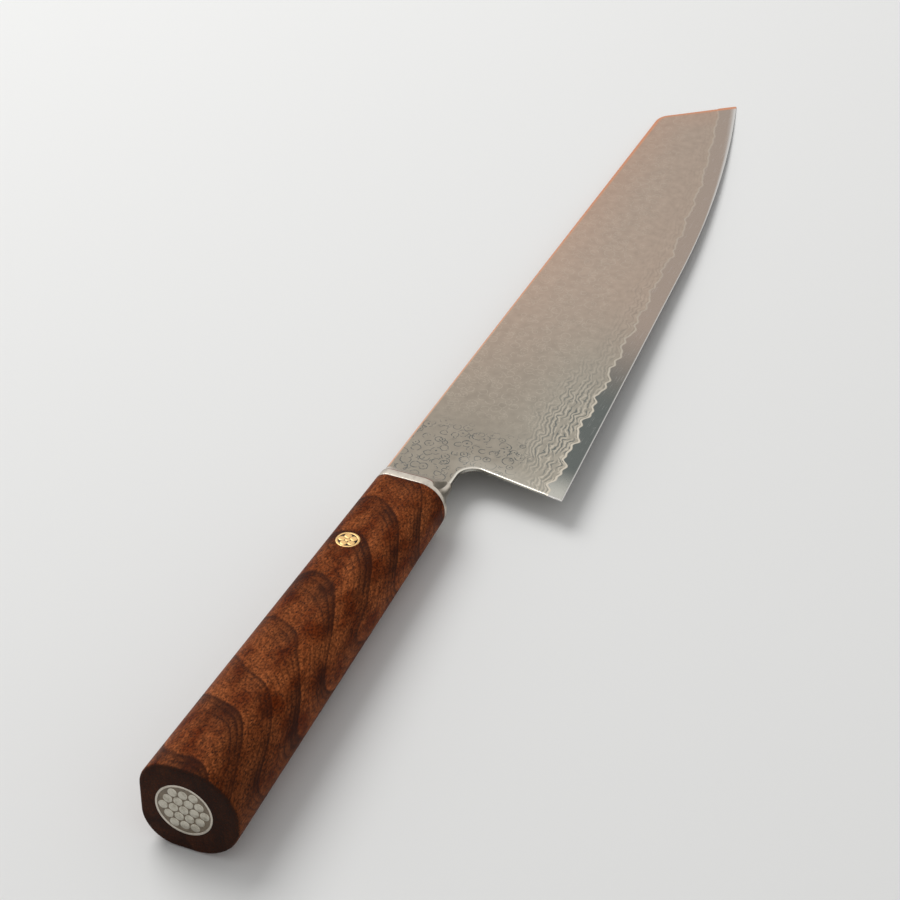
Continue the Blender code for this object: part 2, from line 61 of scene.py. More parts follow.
class Slot(Enum):
    """Material slots of the record."""

    CORE = "core_steel"
    CLADDING = "damascus_cladding"
    STAINLESS = "satin_stainless"
    WALNUT = "walnut"
    EPOXY = "cured_epoxy"
    BRASS = "pale_brass"
    DARK_RESIN = "dark_resin"
    TAN_RESIN = "tan_resin"
    SILVER = "nickel_silver"


class Side(Enum):
    """Sides of the blade: the right one faces up, the left one lies down."""

    RIGHT = 1.0
    LEFT = -1.0


@dataclass(frozen=True)
class KnifeFrame:
    """Place of the knife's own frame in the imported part, read from its butt mount."""

    butt_x: float = -121.65
    butt_mount_y: float = -8.6

    @property
    def tilt(self) -> float:
        """Turn about Y, in radians, from the butt face's outward axis."""
        axis = self.butt_mount()["axis"]
        return math.atan2(axis[2], -axis[0])

    @staticmethod
    def butt_mount() -> dict:
        """The record's mount on the butt's face."""
        return next(mount for mount in frame["record"]["mounts"] if mount["name"] == "butt_face")

    def turn(self) -> np.ndarray:
        """Rotation matrix from the knife's frame to the part's."""
        return np.array(Euler((0.0, self.tilt, 0.0)).to_matrix())

    def origin(self) -> np.ndarray:
        """The knife frame's origin in the part's frame, in metres."""
        mount = np.array([self.butt_x, self.butt_mount_y, 0.0]) * MM
        return np.array(self.butt_mount()["pos_m"]) - self.turn() @ mount

    def place(self, points: np.ndarray) -> np.ndarray:
        """Points in millimetres as metres in the part's frame: the turned points plus the origin."""
        return (points * MM) @ self.turn().T + self.origin()


KNIFE = KnifeFrame()


@dataclass
class Loops:
    """A closed body made of loops of points that are joined one to the next.

    Both ends are capped, or else the last loop lies on the first one, as on a ring.
    """

    points: np.ndarray
    marks: dict[str, np.ndarray] = field(default_factory=dict)
    capped: bool = True

    def faces(self, first: int) -> list[list[int]]:
        """Quads between neighbours, point (r, c) being r * columns + c and c wrapping round, and end caps.

        Args:
            first: index of the first point.

        Returns:
            Point indices of each face.
        """
        rows, columns = self.points.shape[:2]
        row, column = np.meshgrid(np.arange(rows - 1), np.arange(columns), indexing="ij")
        ahead = (column + 1) % columns
        corners = (row * columns + column, row * columns + ahead,
                   (row + 1) * columns + ahead, (row + 1) * columns + column)
        quads = (np.stack(corners, axis=-1).reshape(-1, 4) + first).tolist()
        if not self.capped:
            return quads
        last = first + (rows - 1) * columns
        return [*quads, list(range(first, first + columns))[::-1], list(range(last, last + columns))]


def link(name: str, data: bpy.types.ID) -> bpy.types.Object:
    """A new object for its data, in the scene's collection."""
    thing = bpy.data.objects.new(name, data)
    bpy.context.scene.collection.objects.link(thing)
    return thing


def build_mesh(name: str, bodies: Sequence[Loops], sharp_degrees: float) -> bpy.types.Object:
    """Makes one object of closed bodies, merged, turned outwards and shaded smooth.

    Args:
        name: the piece's name.
        bodies: closed bodies in the knife's frame, in millimetres.
        sharp_degrees: angle between faces above which an edge stays sharp.

    Returns:
        The object, at the origin, with its marks as point attributes.
    """
    faces, first = [], 0
    for body in bodies:
        faces += body.faces(first)
        first += body.points.shape[0] * body.points.shape[1]
    mesh = bpy.data.meshes.new(name)
    mesh.from_pydata(KNIFE.place(np.concatenate([body.points.reshape(-1, 3) for body in bodies])), [], faces)
    for mark in bodies[0].marks:
        values = np.concatenate([body.marks[mark].reshape(-1) for body in bodies])
        mesh.attributes.new(mark, "FLOAT", "POINT").data.foreach_set("value", values.astype(np.float32))
    bm = bmesh.new()
    bm.from_mesh(mesh)
    bmesh.ops.remove_doubles(bm, verts=bm.verts, dist=1e-7)
    bmesh.ops.dissolve_degenerate(bm, edges=bm.edges, dist=1e-7)
    bmesh.ops.recalc_face_normals(bm, faces=bm.faces)
    bm.to_mesh(mesh)
    bm.free()
    mesh.shade_smooth()
    mesh.set_sharp_from_angle(angle=math.radians(sharp_degrees))
    return link(name, mesh)


def carve(piece: bpy.types.Object, cutters: Sequence[Loops], sharp_degrees: float) -> None:
    """Cuts closed bodies out of a piece with exact Booleans and keeps the result as its mesh."""
    for number, body in enumerate(cutters):
        cutter = build_mesh(f"cutter_{number}", [body], sharp_degrees)
        piece.modifiers.new("cut", "BOOLEAN").object = cutter
        bpy.context.view_layer.update()
        evaluated = piece.evaluated_get(bpy.context.evaluated_depsgraph_get())
        mesh = bpy.data.meshes.new_from_object(evaluated)
        piece.modifiers.clear()
        piece.data = mesh
        bpy.data.objects.remove(cutter, do_unlink=True)
    piece.data.shade_smooth()
    piece.data.set_sharp_from_angle(angle=math.radians(sharp_degrees))


def dress(piece: bpy.types.Object, node: str, finish: "Finish") -> None:
    """Puts a finish on a piece, ties it to the knife's body and lets it stand for a CAD node."""
    piece.data.materials.clear()
    piece.data.materials.append(finish.material())
    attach(piece, BODY)
    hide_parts(node)
    LOG.info("%s: %d faces, %s", piece.name, len(piece.data.polygons), finish.slot.value)


def unit_range(values: np.ndarray) -> np.ndarray:
    """Values held between nil and one."""
    return np.clip(values, 0.0, 1.0)


def rounding(distance: np.ndarray, radius: float) -> np.ndarray:
    """Drop of a rounded edge: radius minus the height of a quarter circle at a distance from the border."""
    inside = np.clip(radius - distance, 0.0, radius)
    return radius - np.sqrt(radius**2 - inside**2)


@dataclass(frozen=True)
class Border:
    """Border of two straight lines that turn right, with an arc in their corner.

    Its side is 1 where the material lies to the left (concave) and -1 to the right (convex).
    """

    before: np.ndarray
    corner: np.ndarray
    after: np.ndarray
    radius: float
    side: float

    def directions(self) -> list[np.ndarray]:
        """Unit vectors along the two lines."""
        lines = self.corner - self.before, self.after - self.corner
        return [line / np.linalg.norm(line) for line in lines]

    def arc(self) -> tuple[np.ndarray, float]:
        """Centre of the arc, on the bisector at radius / sin(half angle), and the half angle."""
        first, second = self.directions()
        half = 0.5 * math.acos(float(-first @ second))
        inward = second - first
        return self.corner + inward / np.linalg.norm(inward) * self.radius / math.sin(half), half

    def path(self, end: np.ndarray) -> np.ndarray:
        """Points of the border up to an end on its second line; the arc's directions turn evenly."""
        shortened = replace(self, after=end)
        (first, second), (centre, half) = shortened.directions(), shortened.arc()
        reach = self.radius / math.tan(half)
        starts, ends = self.corner - first * reach - centre, self.corner + second * reach - centre
        share = np.linspace(0.0, 1.0, 25)[:, None]
        spokes = starts * (1.0 - share) + ends * share
        arc = centre + spokes / np.linalg.norm(spokes, axis=1, keepdims=True) * self.radius
        return np.concatenate([self.before[None], arc, end[None]])

    def distance(self, points: np.ndarray) -> np.ndarray:
        """Distance of points (..., 2) inside the border.

        The distance to a line is the cross product with its direction times the side. In the arc's
        wedge the distance is the difference between the way to the arc's centre and the radius, and
        elsewhere it is the lesser line distance at a convex corner and the greater at a concave one.
        """
        first, second = self.directions()
        way, from_centre = points - self.corner, points - self.arc()[0]
        lines = [self.side * (line[0] * way[..., 1] - line[1] * way[..., 0]) for line in (first, second)]
        straight = np.maximum(*lines) if self.side > 0.0 else np.minimum(*lines)
        in_wedge = (from_centre @ first > 0.0) & (from_centre @ second < 0.0)
        return np.where(in_wedge, self.side * (np.linalg.norm(from_centre, axis=-1) - self.radius), straight)


def resample(path: np.ndarray, lengths: np.ndarray) -> np.ndarray:
    """Points of a polyline at given lengths along it, by linear interpolation."""
    steps = np.linalg.norm(np.diff(path, axis=0), axis=1)
    travelled = np.concatenate([[0.0], np.cumsum(steps)])
    return np.stack([np.interp(lengths, travelled, path[:, axis]) for axis in (0, 1)], axis=-1)


def path_length(path: np.ndarray) -> float:
    """Length of a polyline."""
    return float(np.linalg.norm(np.diff(path, axis=0), axis=1).sum())


def crossing(line: np.ndarray, height: Callable[[np.ndarray], np.ndarray]) -> np.ndarray:
    """Point of a fine line that comes nearest to a curve y = height(x)."""
    return line[int(np.argmin(np.abs(line[:, 1] - height(line[:, 0]))))]


@dataclass(frozen=True)
class BladeShape:
    """Outline, thickness and layers of the blade, in millimetres and degrees."""

    shoulder_x: float = 4.0
    taper_x: float = 7.55
    heel_x: float = 13.0
    tip_x: float = 222.999
    spine_y0: float = 11.3
    spine_fall: float = 1.0
    heel_y: float = -34.926
    edge_rise: float = 3.6
    belly_length: float = 98.7
    belly_rise: float = 9.3
    belly_power: float = 2.1
    clip_angle: float = 51.5
    clip_corner_radius: float = 6.0
    heel_rake: float = 9.0
    neck_y: float = -6.6
    choil_radius: float = 4.6
    spine_half: float = 1.0
    distal_taper: float = 0.00207
    grind_slope: float = 0.0175280
    bevel_width: float = 0.5
    core_share: float = 0.45
    spine_rounding: float = 0.45
    back_rounding: float = 0.3

    def spine_y(self, x: np.ndarray) -> np.ndarray:
        """Height of the straight, falling spine."""
        return self.spine_y0 - x * math.tan(math.radians(self.spine_fall))

    def edge_y(self, x: np.ndarray) -> np.ndarray:
        """Height of the cutting edge: a straight rise plus a power curve along the belly."""
        along = np.clip((x - self.tip_x) / self.belly_length + 1.0, 0.0, None)
        rise = (x - self.heel_x) * math.tan(math.radians(self.edge_rise))
        return self.heel_y + rise + self.belly_rise * along**self.belly_power

    def heel_line_x(self, y: float | np.ndarray) -> float | np.ndarray:
        """Place of the raked edge behind the heel at a height."""
        return self.heel_x + (y - self.heel_y) * math.tan(math.radians(self.heel_rake))

    def clad_y(self, x: np.ndarray) -> np.ndarray:
        """Height of the line where the cladding ends: an offset over the edge plus waves that fade."""
        along = (x - self.heel_x) / (self.tip_x - self.heel_x)
        turn = math.tau * x / 13.5
        wave = (np.sin(turn - 0.6) + 0.5 * np.sin(2.3 * turn + 1.0)
                + 0.35 * np.sin(3.7 * turn + 2.0) + 0.35 * np.sin(0.37 * turn))
        fine = 0.05 * np.sin(3.7 * turn + 2.0) + 0.05 * np.sin(5.6 * turn + 0.4)
        size = 0.7 - 0.5 * along
        return self.edge_y(x) + 4.2 + 1.4 * along + size * wave + (1.0 - 0.8 * along) * fine

    def face_half(self, x: np.ndarray, y: np.ndarray) -> np.ndarray:
        """Half thickness between the ground faces: it falls from spine to edge and from neck to tip."""
        thinning = self.distal_taper * np.clip(x - self.taper_x, 0.0, None)
        return self.spine_half - thinning - self.grind_slope * (self.spine_y0 - y)

    def tip(self) -> np.ndarray:
        """The blade's point."""
        return np.array([self.tip_x, float(self.edge_y(np.array(self.tip_x)))])

    def clip_corner(self) -> np.ndarray:
        """Corner between the spine and the clip, where their two lines cross."""
        tip = self.tip()
        slope = math.tan(math.radians(self.clip_angle))
        fall = math.tan(math.radians(self.spine_fall))
        x = (tip[1] + slope * tip[0] - self.spine_y0) / (slope - fall)
        return np.array([x, self.spine_y0 - x * fall])

    def clad_ends(self) -> tuple[np.ndarray, np.ndarray]:
        """Points where the line behind the heel and the clip cross the clad line, from fine grids."""
        y = np.linspace(self.heel_y, self.neck_y, 4001)
        share = np.linspace(0.0, 1.0, 4001)[:, None]
        raked = np.stack([self.heel_line_x(y), y], axis=-1)
        clip = self.clip_corner() * (1.0 - share) + self.tip() * share
        return crossing(raked, self.clad_y), crossing(clip, self.clad_y)

    def choil(self) -> Border:
        """Border along the neck, round the choil and down to the heel."""
        neck = np.array([self.shoulder_x, self.neck_y])
        corner = np.array([self.heel_line_x(self.neck_y), self.neck_y])
        return Border(neck, corner, np.array([self.heel_x, self.heel_y]), self.choil_radius, 1.0)

    def crown(self) -> Border:
        """Border along the spine, round the corner of the clip and down to the tip."""
        shoulder = np.array([self.shoulder_x, float(self.spine_y(np.array(self.shoulder_x)))])
        return Border(shoulder, self.clip_corner(), self.tip(), self.clip_corner_radius, -1.0)


@dataclass(frozen=True)
class Sheet:
    """Columns that run from a lower border to an upper border of the blade."""

    lower: np.ndarray
    upper: np.ndarray
    back: np.ndarray
    least_sine: float = 0.3

    def sines(self, border: np.ndarray) -> np.ndarray:
        """Sine of the angle between each column and a border, at least the least one."""
        span = self.upper - self.lower
        length = np.maximum(np.linalg.norm(span, axis=1), 1e-6)
        tangent = np.gradient(border, axis=0)
        tangent /= np.maximum(np.linalg.norm(tangent, axis=1, keepdims=True), 1e-9)
        cross = span[:, 0] * tangent[:, 1] - span[:, 1] * tangent[:, 0]
        return np.maximum(np.abs(cross) / length, self.least_sine)[:, None]

    def heights(self, ends: Sequence[float], middle: int) -> np.ndarray:
        """Distances up each column: fixed ones near both borders, even ones between them.

        Args:
            ends: distances from a border, measured square to it, from nil on, in millimetres.
            middle: number of even steps between the two ends.

        Returns:
            Array (columns, rows): the ends divided by the sine of the column's angle to the border.
            On a short column they shrink in proportion.
        """
        length = np.linalg.norm(self.upper - self.lower, axis=1)[:, None]
        lower_sine = np.where(self.back[:, None], self.sines(self.lower), 1.0)
        low, top = (np.array(ends)[None, :] / sine for sine in (lower_sine, self.sines(self.upper)))
        low, top = (near * unit_range(length / (2.4 * near[:, -1:])) for near in (low, top))
        start, room = low[:, -1:], length - low[:, -1:] - top[:, -1:]
        between = start + room * np.linspace(0.0, 1.0, middle + 2)[None, 1:-1]
        return np.concatenate([low, between, (length - top)[:, ::-1]], axis=1)

    def places(self, heights: np.ndarray) -> np.ndarray:
        """Points (columns, rows, 2) at distances up the columns: lower plus direction times distance."""
        span = self.upper - self.lower
        length = np.maximum(np.linalg.norm(span, axis=1, keepdims=True), 1e-6)
        return self.lower[:, None, :] + (span / length)[:, None, :] * heights[..., None]


@dataclass
class Blade:
    """The laminated blade: a core with its ground edge, and a layered sheet on each side."""

    shape: BladeShape = field(default_factory=BladeShape)
    ends: tuple[float, ...] = (0.0, 0.03, 0.09, 0.17, 0.27, 0.38, 0.5, 0.8, 1.3, 2.2)
    middle_rows: int = 4
    back_columns: int = 120
    line_columns: int = 1100
    heel_lean: float = 36.0
    core_ease: float = 0.6
    laminate_gap: float = 0.004
    core_sharp: float = 2.2
    clad_sharp: float = 50.0
    reflection_start: float = 7.5
    warm_reflection_start: float = 20.0
    warm_reflection_depth: float = 0.12

    def sheet(self) -> Sheet:
        """Columns over the clad area, from the neck, choil, heel line and clad line up to the spine."""
        shape = self.shape
        heel, end = shape.clad_ends()
        border, upper = shape.choil().path(heel), shape.crown().path(end)
        back = resample(border, np.linspace(0.0, path_length(border), self.back_columns))
        x = np.linspace(heel[0], end[0], self.line_columns)[1:]
        line = np.stack([x, shape.clad_y(x)], axis=-1)
        line[-1] = end
        over_back = self.lean_over(back) - shape.shoulder_x
        over_line = np.linspace(over_back[-1], path_length(upper), self.line_columns)[1:]
        is_back = np.arange(len(back) + len(line)) < self.back_columns
        return Sheet(np.concatenate([back, line]),
                     resample(upper, np.concatenate([over_back, over_line])), is_back)

    def lean_over(self, back: np.ndarray) -> np.ndarray:
        """Places x on the spine where the columns from the back border end.

        A column leans by a share of the heel's lean that grows as the border turns downwards.
        """
        tangent = np.gradient(back, axis=0)
        turned = np.arctan2(-tangent[:, 1], tangent[:, 0])
        lean = math.radians(self.heel_lean) * turned / turned[-1]
        return back[:, 0] + (self.shape.spine_y(back[:, 0]) - back[:, 1]) * np.tan(lean)

    def layer(self, inner: Callable, outer: Callable, rounded: bool) -> Loops:
        """Closed layer over the clad area between two heights above the middle plane.

        Args:
            inner: height of the face that is turned to the core, from x and y.
            outer: height of the face that is turned away, from x and y.
            rounded: whether the outer face is rounded along the spine, the clip and the back.

        Returns:
            Loops up the outer face and down the inner one, with marks for x, the height above the
            clad line, and, from the nearness of the rounded spine and back, a painted reflection and a
            polished, partly glinting border.
        """
        shape, sheet = self.shape, self.sheet()
        heights = sheet.heights(self.ends, self.middle_rows)
        flat = sheet.places(heights)
        x, y = flat[..., 0], flat[..., 1]
        top = np.maximum(shape.crown().distance(flat), 0.0)
        low = np.maximum(shape.choil().distance(flat), 0.0)
        high = outer(x, y)
        if rounded:
            drop = rounding(top, shape.spine_rounding) + rounding(low, shape.back_rounding)
            high = high - np.sign(high) * np.minimum(drop, np.abs(high - inner(x, y)))
        # The spine mark is a painted orange reflection along spine and clip, plus a painted warm reflection
        # that grows towards the tip.
        spine = self.spine_reflection(x, top)
        warm_reflection = self.warm_reflection_depth * unit_range((x - self.warm_reflection_start) / 120.0)
        spine = np.maximum(spine, warm_reflection * unit_range(1.0 - top / 12.0))
        # The back mark is the polished border round choil and heel, brightened as a painted glint, with a
        # wider painted sheen by the heel.
        back = unit_range(low / 0.1) * unit_range(1.6 - low / 0.45)
        sheen = unit_range(1.0 - low / 5.0) * unit_range((x - shape.heel_x) / 6.0)
        back = np.maximum(back, 0.3 * sheen)
        return self.two_faces(x, y, high, inner(x, y), spine, back, 0)

    def spine_reflection(self, x: np.ndarray, top: np.ndarray) -> np.ndarray:
        """Painted orange reflection on spine and clip; it starts by the bolster and widens to the tip."""
        line = np.clip(1.9 - top / (0.34 + 0.5 * (x / self.shape.tip_x)**2), 0.0, 0.9)
        return line * unit_range((x - self.reflection_start) / 1.5)

    def two_faces(self, x: np.ndarray, y: np.ndarray, over: np.ndarray, under: np.ndarray,
                  spine: np.ndarray, back: np.ndarray, shared: int) -> Loops:
        """A body whose loops run up one face and down the other.

        Args:
            x: places along the knife (columns, rows).
            y: heights over its axis.
            over: heights of the upper face above the middle plane.
            under: heights of the lower face.
            spine: mark of the painted reflection along spine and clip.
            back: mark of the polished borders, partly a painted glint.
            shared: number of rows at the start that both faces share.

        Returns:
            Loops with the two marks and those for x and for the height above the clad line.
        """
        def around(first: np.ndarray, second: np.ndarray) -> np.ndarray:
            """The first face's values and, in reverse order, the second one's without the shared rows."""
            return np.concatenate([first, second[:, shared:][:, ::-1]], axis=1)
        marks = {"run": x, "rise": y - self.shape.clad_y(x), "spine": spine, "back": back}
        points = around(np.stack([x, y, over], axis=-1), np.stack([x, y, under], axis=-1))
        return Loops(points, {name: around(mark, mark) for name, mark in marks.items()})

    def ground_band(self) -> Loops:
        """The bare core: from the sharp edge up the bevel and the faces to the clad line, on both sides."""
        shape = self.shape
        heel, end = shape.clad_ends()
        column = np.concatenate([[0.0, 0.15, 0.3, 0.5, 0.75], np.arange(1.0, self.line_columns)])
        along = column / column[-1]
        top_x = heel[0] + (end[0] - heel[0]) * along
        top = np.stack([top_x, shape.clad_y(top_x)], axis=-1)
        top[-1] = end
        low_x = shape.heel_x + (shape.tip_x - shape.heel_x) * along
        low = np.stack([low_x, shape.edge_y(low_x)], axis=-1)
        length = np.linalg.norm(top - low, axis=1)[:, None]
        steps = np.array([0.0, 0.1, 0.2, 0.3, 0.45, 0.5, 0.55, 0.8, 1.1])[None, :]
        rest = np.linspace(0.0, 1.0, 6)[None, 1:]
        share = np.concatenate([steps / length, steps[:, -1:] / length * (1 - rest) + rest], axis=1)
        flat = low[:, None, :] * (1.0 - share[..., None]) + top[:, None, :] * share[..., None]
        x, y = flat[..., 0], flat[..., 1]
        half = shape.face_half(x, y) * unit_range(share * length / shape.bevel_width)
        # The back mark here is the ground bevel and the polished heel end, whose brightness is partly a
        # painted glint; the spine mark is the painted reflection.
        back_polish_and_glint = unit_range(1.0 - column[:, None] / 4.0) + 0.0 * x
        from_back = (column * (low_x[1] - low_x[0]) / column[1])[:, None]
        half -= np.minimum(rounding(from_back, shape.back_rounding), self.core_ease * half)
        edge = unit_range(1.4 - share * length / (0.25 + 0.9 * unit_range((x - 150.0) / 70.0)))
        spine_reflection = self.spine_reflection(x, np.maximum(shape.crown().distance(flat), 0.0))
        return self.two_faces(x, y, half, -half, spine_reflection, np.maximum(back_polish_and_glint, edge), 1)

    def face(self, side: float, share: float = 1.0, gap: float = 0.0) -> Callable:
        """Height from x and y of a face on one side: a share of the half thickness, plus a gap."""
        return lambda x, y: side * (share * self.shape.face_half(x, y) + gap)

    def build(self) -> None:
        """Makes the core and both claddings, and dresses them."""
        share = self.shape.core_share
        slab = self.layer(self.face(-1.0, share), self.face(1.0, share), False)
        core = build_mesh("core_and_edge", [self.ground_band(), slab], self.core_sharp)
        dress(core, "blade_core", CoreSteel())
        for side in Side:
            inner = self.face(side.value, share, self.laminate_gap)
            layer = self.layer(inner, self.face(side.value), True)
            piece = build_mesh(f"layered_steel_{side.name.lower()}", [layer], self.clad_sharp)
            dress(piece, f"cladding_{side.name.lower()}", Damascus())


Colour = tuple[float, float, float]


class Field:
    """A node's output in a formula: each operator or mapping adds one node to the output's tree."""

    def __init__(self, graph: "Graph", socket: bpy.types.NodeSocket) -> None:
        """Keeps the output and the graph that it belongs to."""
        self.graph = graph
        self.socket = socket

    def apply(self, operation: str, other: "Value" = 0.0) -> "Field":
        """One arithmetic step on this value and another one."""
        return self.graph.math(operation, self, other)

    __add__ = functools.partialmethod(apply, "ADD")
    __sub__ = functools.partialmethod(apply, "SUBTRACT")
    __mul__ = functools.partialmethod(apply, "MULTIPLY")
    __truediv__ = functools.partialmethod(apply, "DIVIDE")
    __abs__ = functools.partialmethod(apply, "ABSOLUTE")

    def __rsub__(self, other: float) -> "Field":
        """Difference from a number."""
        return self.graph.math("SUBTRACT", other, self)

    def step(self, low: float, high: float) -> "Field":
        """Smooth step: nil at low, one at high, also where low is above high."""
        inputs = {"Value": self, "From Min": low, "From Max": high, "To Min": 0.0, "To Max": 1.0}
        return self.graph.field("ShaderNodeMapRange", inputs, interpolation_type="SMOOTHSTEP")

    def range(self, low: float, high: float) -> "Field":
        """Straight map from 0..1 to low..high."""
        inputs = {"Value": self, "From Min": 0.0, "From Max": 1.0, "To Min": low, "To Max": high}
        return self.graph.field("ShaderNodeMapRange", inputs)


Value = Field | float | tuple[float, ...]


class Graph:
    """Short-hand for a node tree: most calls add one node and return its first output."""

    def __init__(self, tree: bpy.types.NodeTree) -> None:
        """Keeps the tree that the nodes go into."""
        self.tree = tree

    def put(self, socket: bpy.types.NodeSocket, value: Value) -> None:
        """Links a socket to an output, or sets it to a constant."""
        if isinstance(value, Field):
            self.tree.links.new(value.socket, socket)
        elif socket.type == "RGBA":
            socket.default_value = (*value, 1.0)
        else:
            socket.default_value = value

    def node(self, kind: str, inputs: dict[str | int, Value], **settings: object) -> bpy.types.Node:
        """Adds a node, sets its properties and fills its inputs by name or number."""
        node = self.tree.nodes.new(kind)
        for name, value in settings.items():
            setattr(node, name, value)
        for key, value in inputs.items():
            self.put(node.inputs[key], value)
        return node

    def fields(self, kind: str, inputs: dict[str | int, Value], **settings: object) -> list[Field]:
        """Adds a node and returns all its outputs."""
        return [Field(self, socket) for socket in self.node(kind, inputs, **settings).outputs]

    def field(self, kind: str, inputs: dict[str | int, Value], output: str | int = 0,
              **settings: object) -> Field:
        """Adds a node and returns one output, by name or number."""
        return Field(self, self.node(kind, inputs, **settings).outputs[output])

    def math(self, operation: str, first: Value, second: Value = 0.0) -> Field:
        """One arithmetic step on one or two values."""
        return self.field("ShaderNodeMath", {0: first, 1: second}, operation=operation)

    def mix(self, factor: Value, first: Value, second: Value, blend: str = "MIX") -> Field:
        """Mix of two colours by a factor."""
        inputs = {0: factor, 6: first, 7: second}
        return self.field("ShaderNodeMix", inputs, 2, data_type="RGBA", blend_type=blend)

    def shade(self, colour: Value, strength: Field) -> Field:
        """A colour times a value."""
        grey = self.field("ShaderNodeCombineColor", {0: strength, 1: strength, 2: strength})
        return self.mix(1.0, colour, grey, "MULTIPLY")

    def stretch(self, vector: Value, scale: Colour, turn_degrees: float = 0.0) -> Field:
        """A vector turned about z and scaled along each axis."""
        inputs = {"Vector": vector, "Rotation": (0.0, 0.0, math.radians(turn_degrees)), "Scale": scale}
        return self.field("ShaderNodeMapping", inputs)

    def noise(self, vector: Value, scale: Value, detail: float = 2.0, output: str | int = 0) -> Field:
        """Cloudy value between nil and one."""
        return self.field("ShaderNodeTexNoise", {"Vector": vector, "Scale": scale, "Detail": detail}, output)

    def mark(self, name: str) -> Field:
        """A point attribute of the piece."""
        return self.field("ShaderNodeAttribute", {}, "Fac", attribute_name=name)

    def vector(self, operation: str, *terms: Value) -> Field:
        """One arithmetic step on vectors."""
        return self.field("ShaderNodeVectorMath", dict(enumerate(terms)), operation=operation)


def shared(name: str, inputs: dict[str, str | float], outputs: dict[str, str]) -> Callable:
    """Turns a formula into a shader node group, made once, at its first use.

    Args:
        name: the group's name.
        inputs: for each named input its socket kind, or the default of a plain value.
        outputs: socket kind (Float or Color) for each named output.

    Returns:
        A decorator. The decorated function takes a graph and the values for the inputs in their order,
        places the group, and returns the list of its outputs, or the output itself if there is one.
    """
    def decorate(formula: Callable) -> Callable:
        """Puts the making and the placing of the group before the formula."""
        @functools.cache
        def made() -> bpy.types.NodeTree:
            """The group: its sockets, and the formula between them."""
            tree = bpy.data.node_groups.new(name, "ShaderNodeTree")
            for label, kind in inputs.items():
                is_value = not isinstance(kind, str)
                socket = tree.interface.new_socket(
                    label, in_out="INPUT", socket_type=f"NodeSocket{'Float' if is_value else kind}")
                if is_value:
                    socket.default_value = kind
            for label, kind in outputs.items():
                tree.interface.new_socket(label, in_out="OUTPUT", socket_type=f"NodeSocket{kind}")
            graph = Graph(tree)
            found = formula(graph, *graph.fields("NodeGroupInput", {})[:len(inputs)])
            found = found if isinstance(found, tuple) else (found,)
            graph.node("NodeGroupOutput", dict(enumerate(found)))
            return tree

        def placed(graph: Graph, *values: Value) -> Field | list[Field]:
            """Places the group in a graph and fills its inputs."""
            found = graph.fields("ShaderNodeGroup", dict(enumerate(values)), node_tree=made())
            return found if len(outputs) > 1 else found[0]
        return placed
    return decorate


@shared("satin grain", {"Vector": "Vector", "Scale": 1.0}, {"Value": "Float"})
def grain(graph: Graph, vector: Field, scale: Field) -> Field:
    """Satin grain: two sizes of cloudy noise as one value from nil to one."""
    return graph.noise(vector, scale, 3.0) * 0.65 + graph.noise(vector, scale * 7.0) * 0.35


@shared("hair scratches", {"Vector": "Vector", "Amount": 0.5}, {"Mask": "Float"})
def scratches(graph: Graph, vector: Field, amount: Field) -> Field:
    """Hair scratches along x: peaks of a noise that is stretched 40 times, broken up by a coarser one."""
    lines = graph.noise(graph.stretch(vector, (0.12, 5.0, 5.0)), 1.0, 3.0)
    return lines.step(0.58, 0.72) * graph.noise(vector, 0.35).step(0.42, 0.62) * amount


@shared("edge polish", {"Colour": "Color", "Edge colour": "Color", "Edge": 0.0, "Roughness": 0.4,
                        "Edge roughness": 0.2}, {"Colour": "Color", "Roughness": "Float"})
def polish_and_reflection(graph: Graph, colour: Field, edge_colour: Field, edge: Field, rough: Field,
           edge_rough: Field) -> tuple[Field, Field]:
    """Polished edges and painted reflection: where the edge mask is high, colour and roughness turn to the
    edge's.
    """
    return graph.mix(edge, colour, edge_colour), rough + (edge_rough - rough) * edge


@shared("lamination seam", {"Rise": 1.0, "Run": 0.0}, {"Mask": "Float"})
def seam(graph: Graph, rise: Field, run: Field) -> Field:
    """Bright seam along the clad line: a soft line by the height above it that fades towards the tip."""
    return abs(rise - 0.1).step(0.42, 0.16) * run.step(110.0, 40.0).range(0.30, 1.0)


@shared("raindrop rings", {"Vector": "Vector", "Scale": 0.4, "Line": 0.05}, {"Mask": "Float"})
def rings(graph: Graph, vector: Field, scale: Field, line: Field) -> Field:
    """Raindrop rings: round cells whose distance field is cut at a radius of their own, wavy and open."""
    def drawn(away: Field) -> Field:
        """Line where a distance from it is nil."""
        return 1.0 - (abs(away) / line).step(0.3, 1.0)

    shift = graph.vector("SUBTRACT", graph.noise(vector, 0.9, 2.0, "Color"), (0.5, 0.5, 0.5))
    bent = graph.vector("MULTIPLY_ADD", shift, (0.8, 0.8, 0.0), vector)
    inputs = {"Vector": bent, "Scale": scale, "Randomness": 0.85}
    away, cell = graph.fields("ShaderNodeTexVoronoi", inputs, voronoi_dimensions="2D")[:2]
    chance, second_chance = graph.fields("ShaderNodeSeparateColor", {0: cell})[:2]
    radius = chance.range(0.22, 0.46)
    ring = drawn(away - radius) * graph.noise(vector, 0.75, 1.0).step(0.36, 0.47)
    eye = drawn(away - radius * 0.12) * second_chance.step(0.55, 0.6)
    return graph.math("MAXIMUM", ring, eye)


@dataclass(frozen=True)
class Look:
    """A finish worked out for the Principled shader, with a relief in millimetres."""

    colour: Value
    roughness: Value
    metallic: float
    height: Field
    depth_mm: float
    constants: dict[str, float] = field(default_factory=dict)


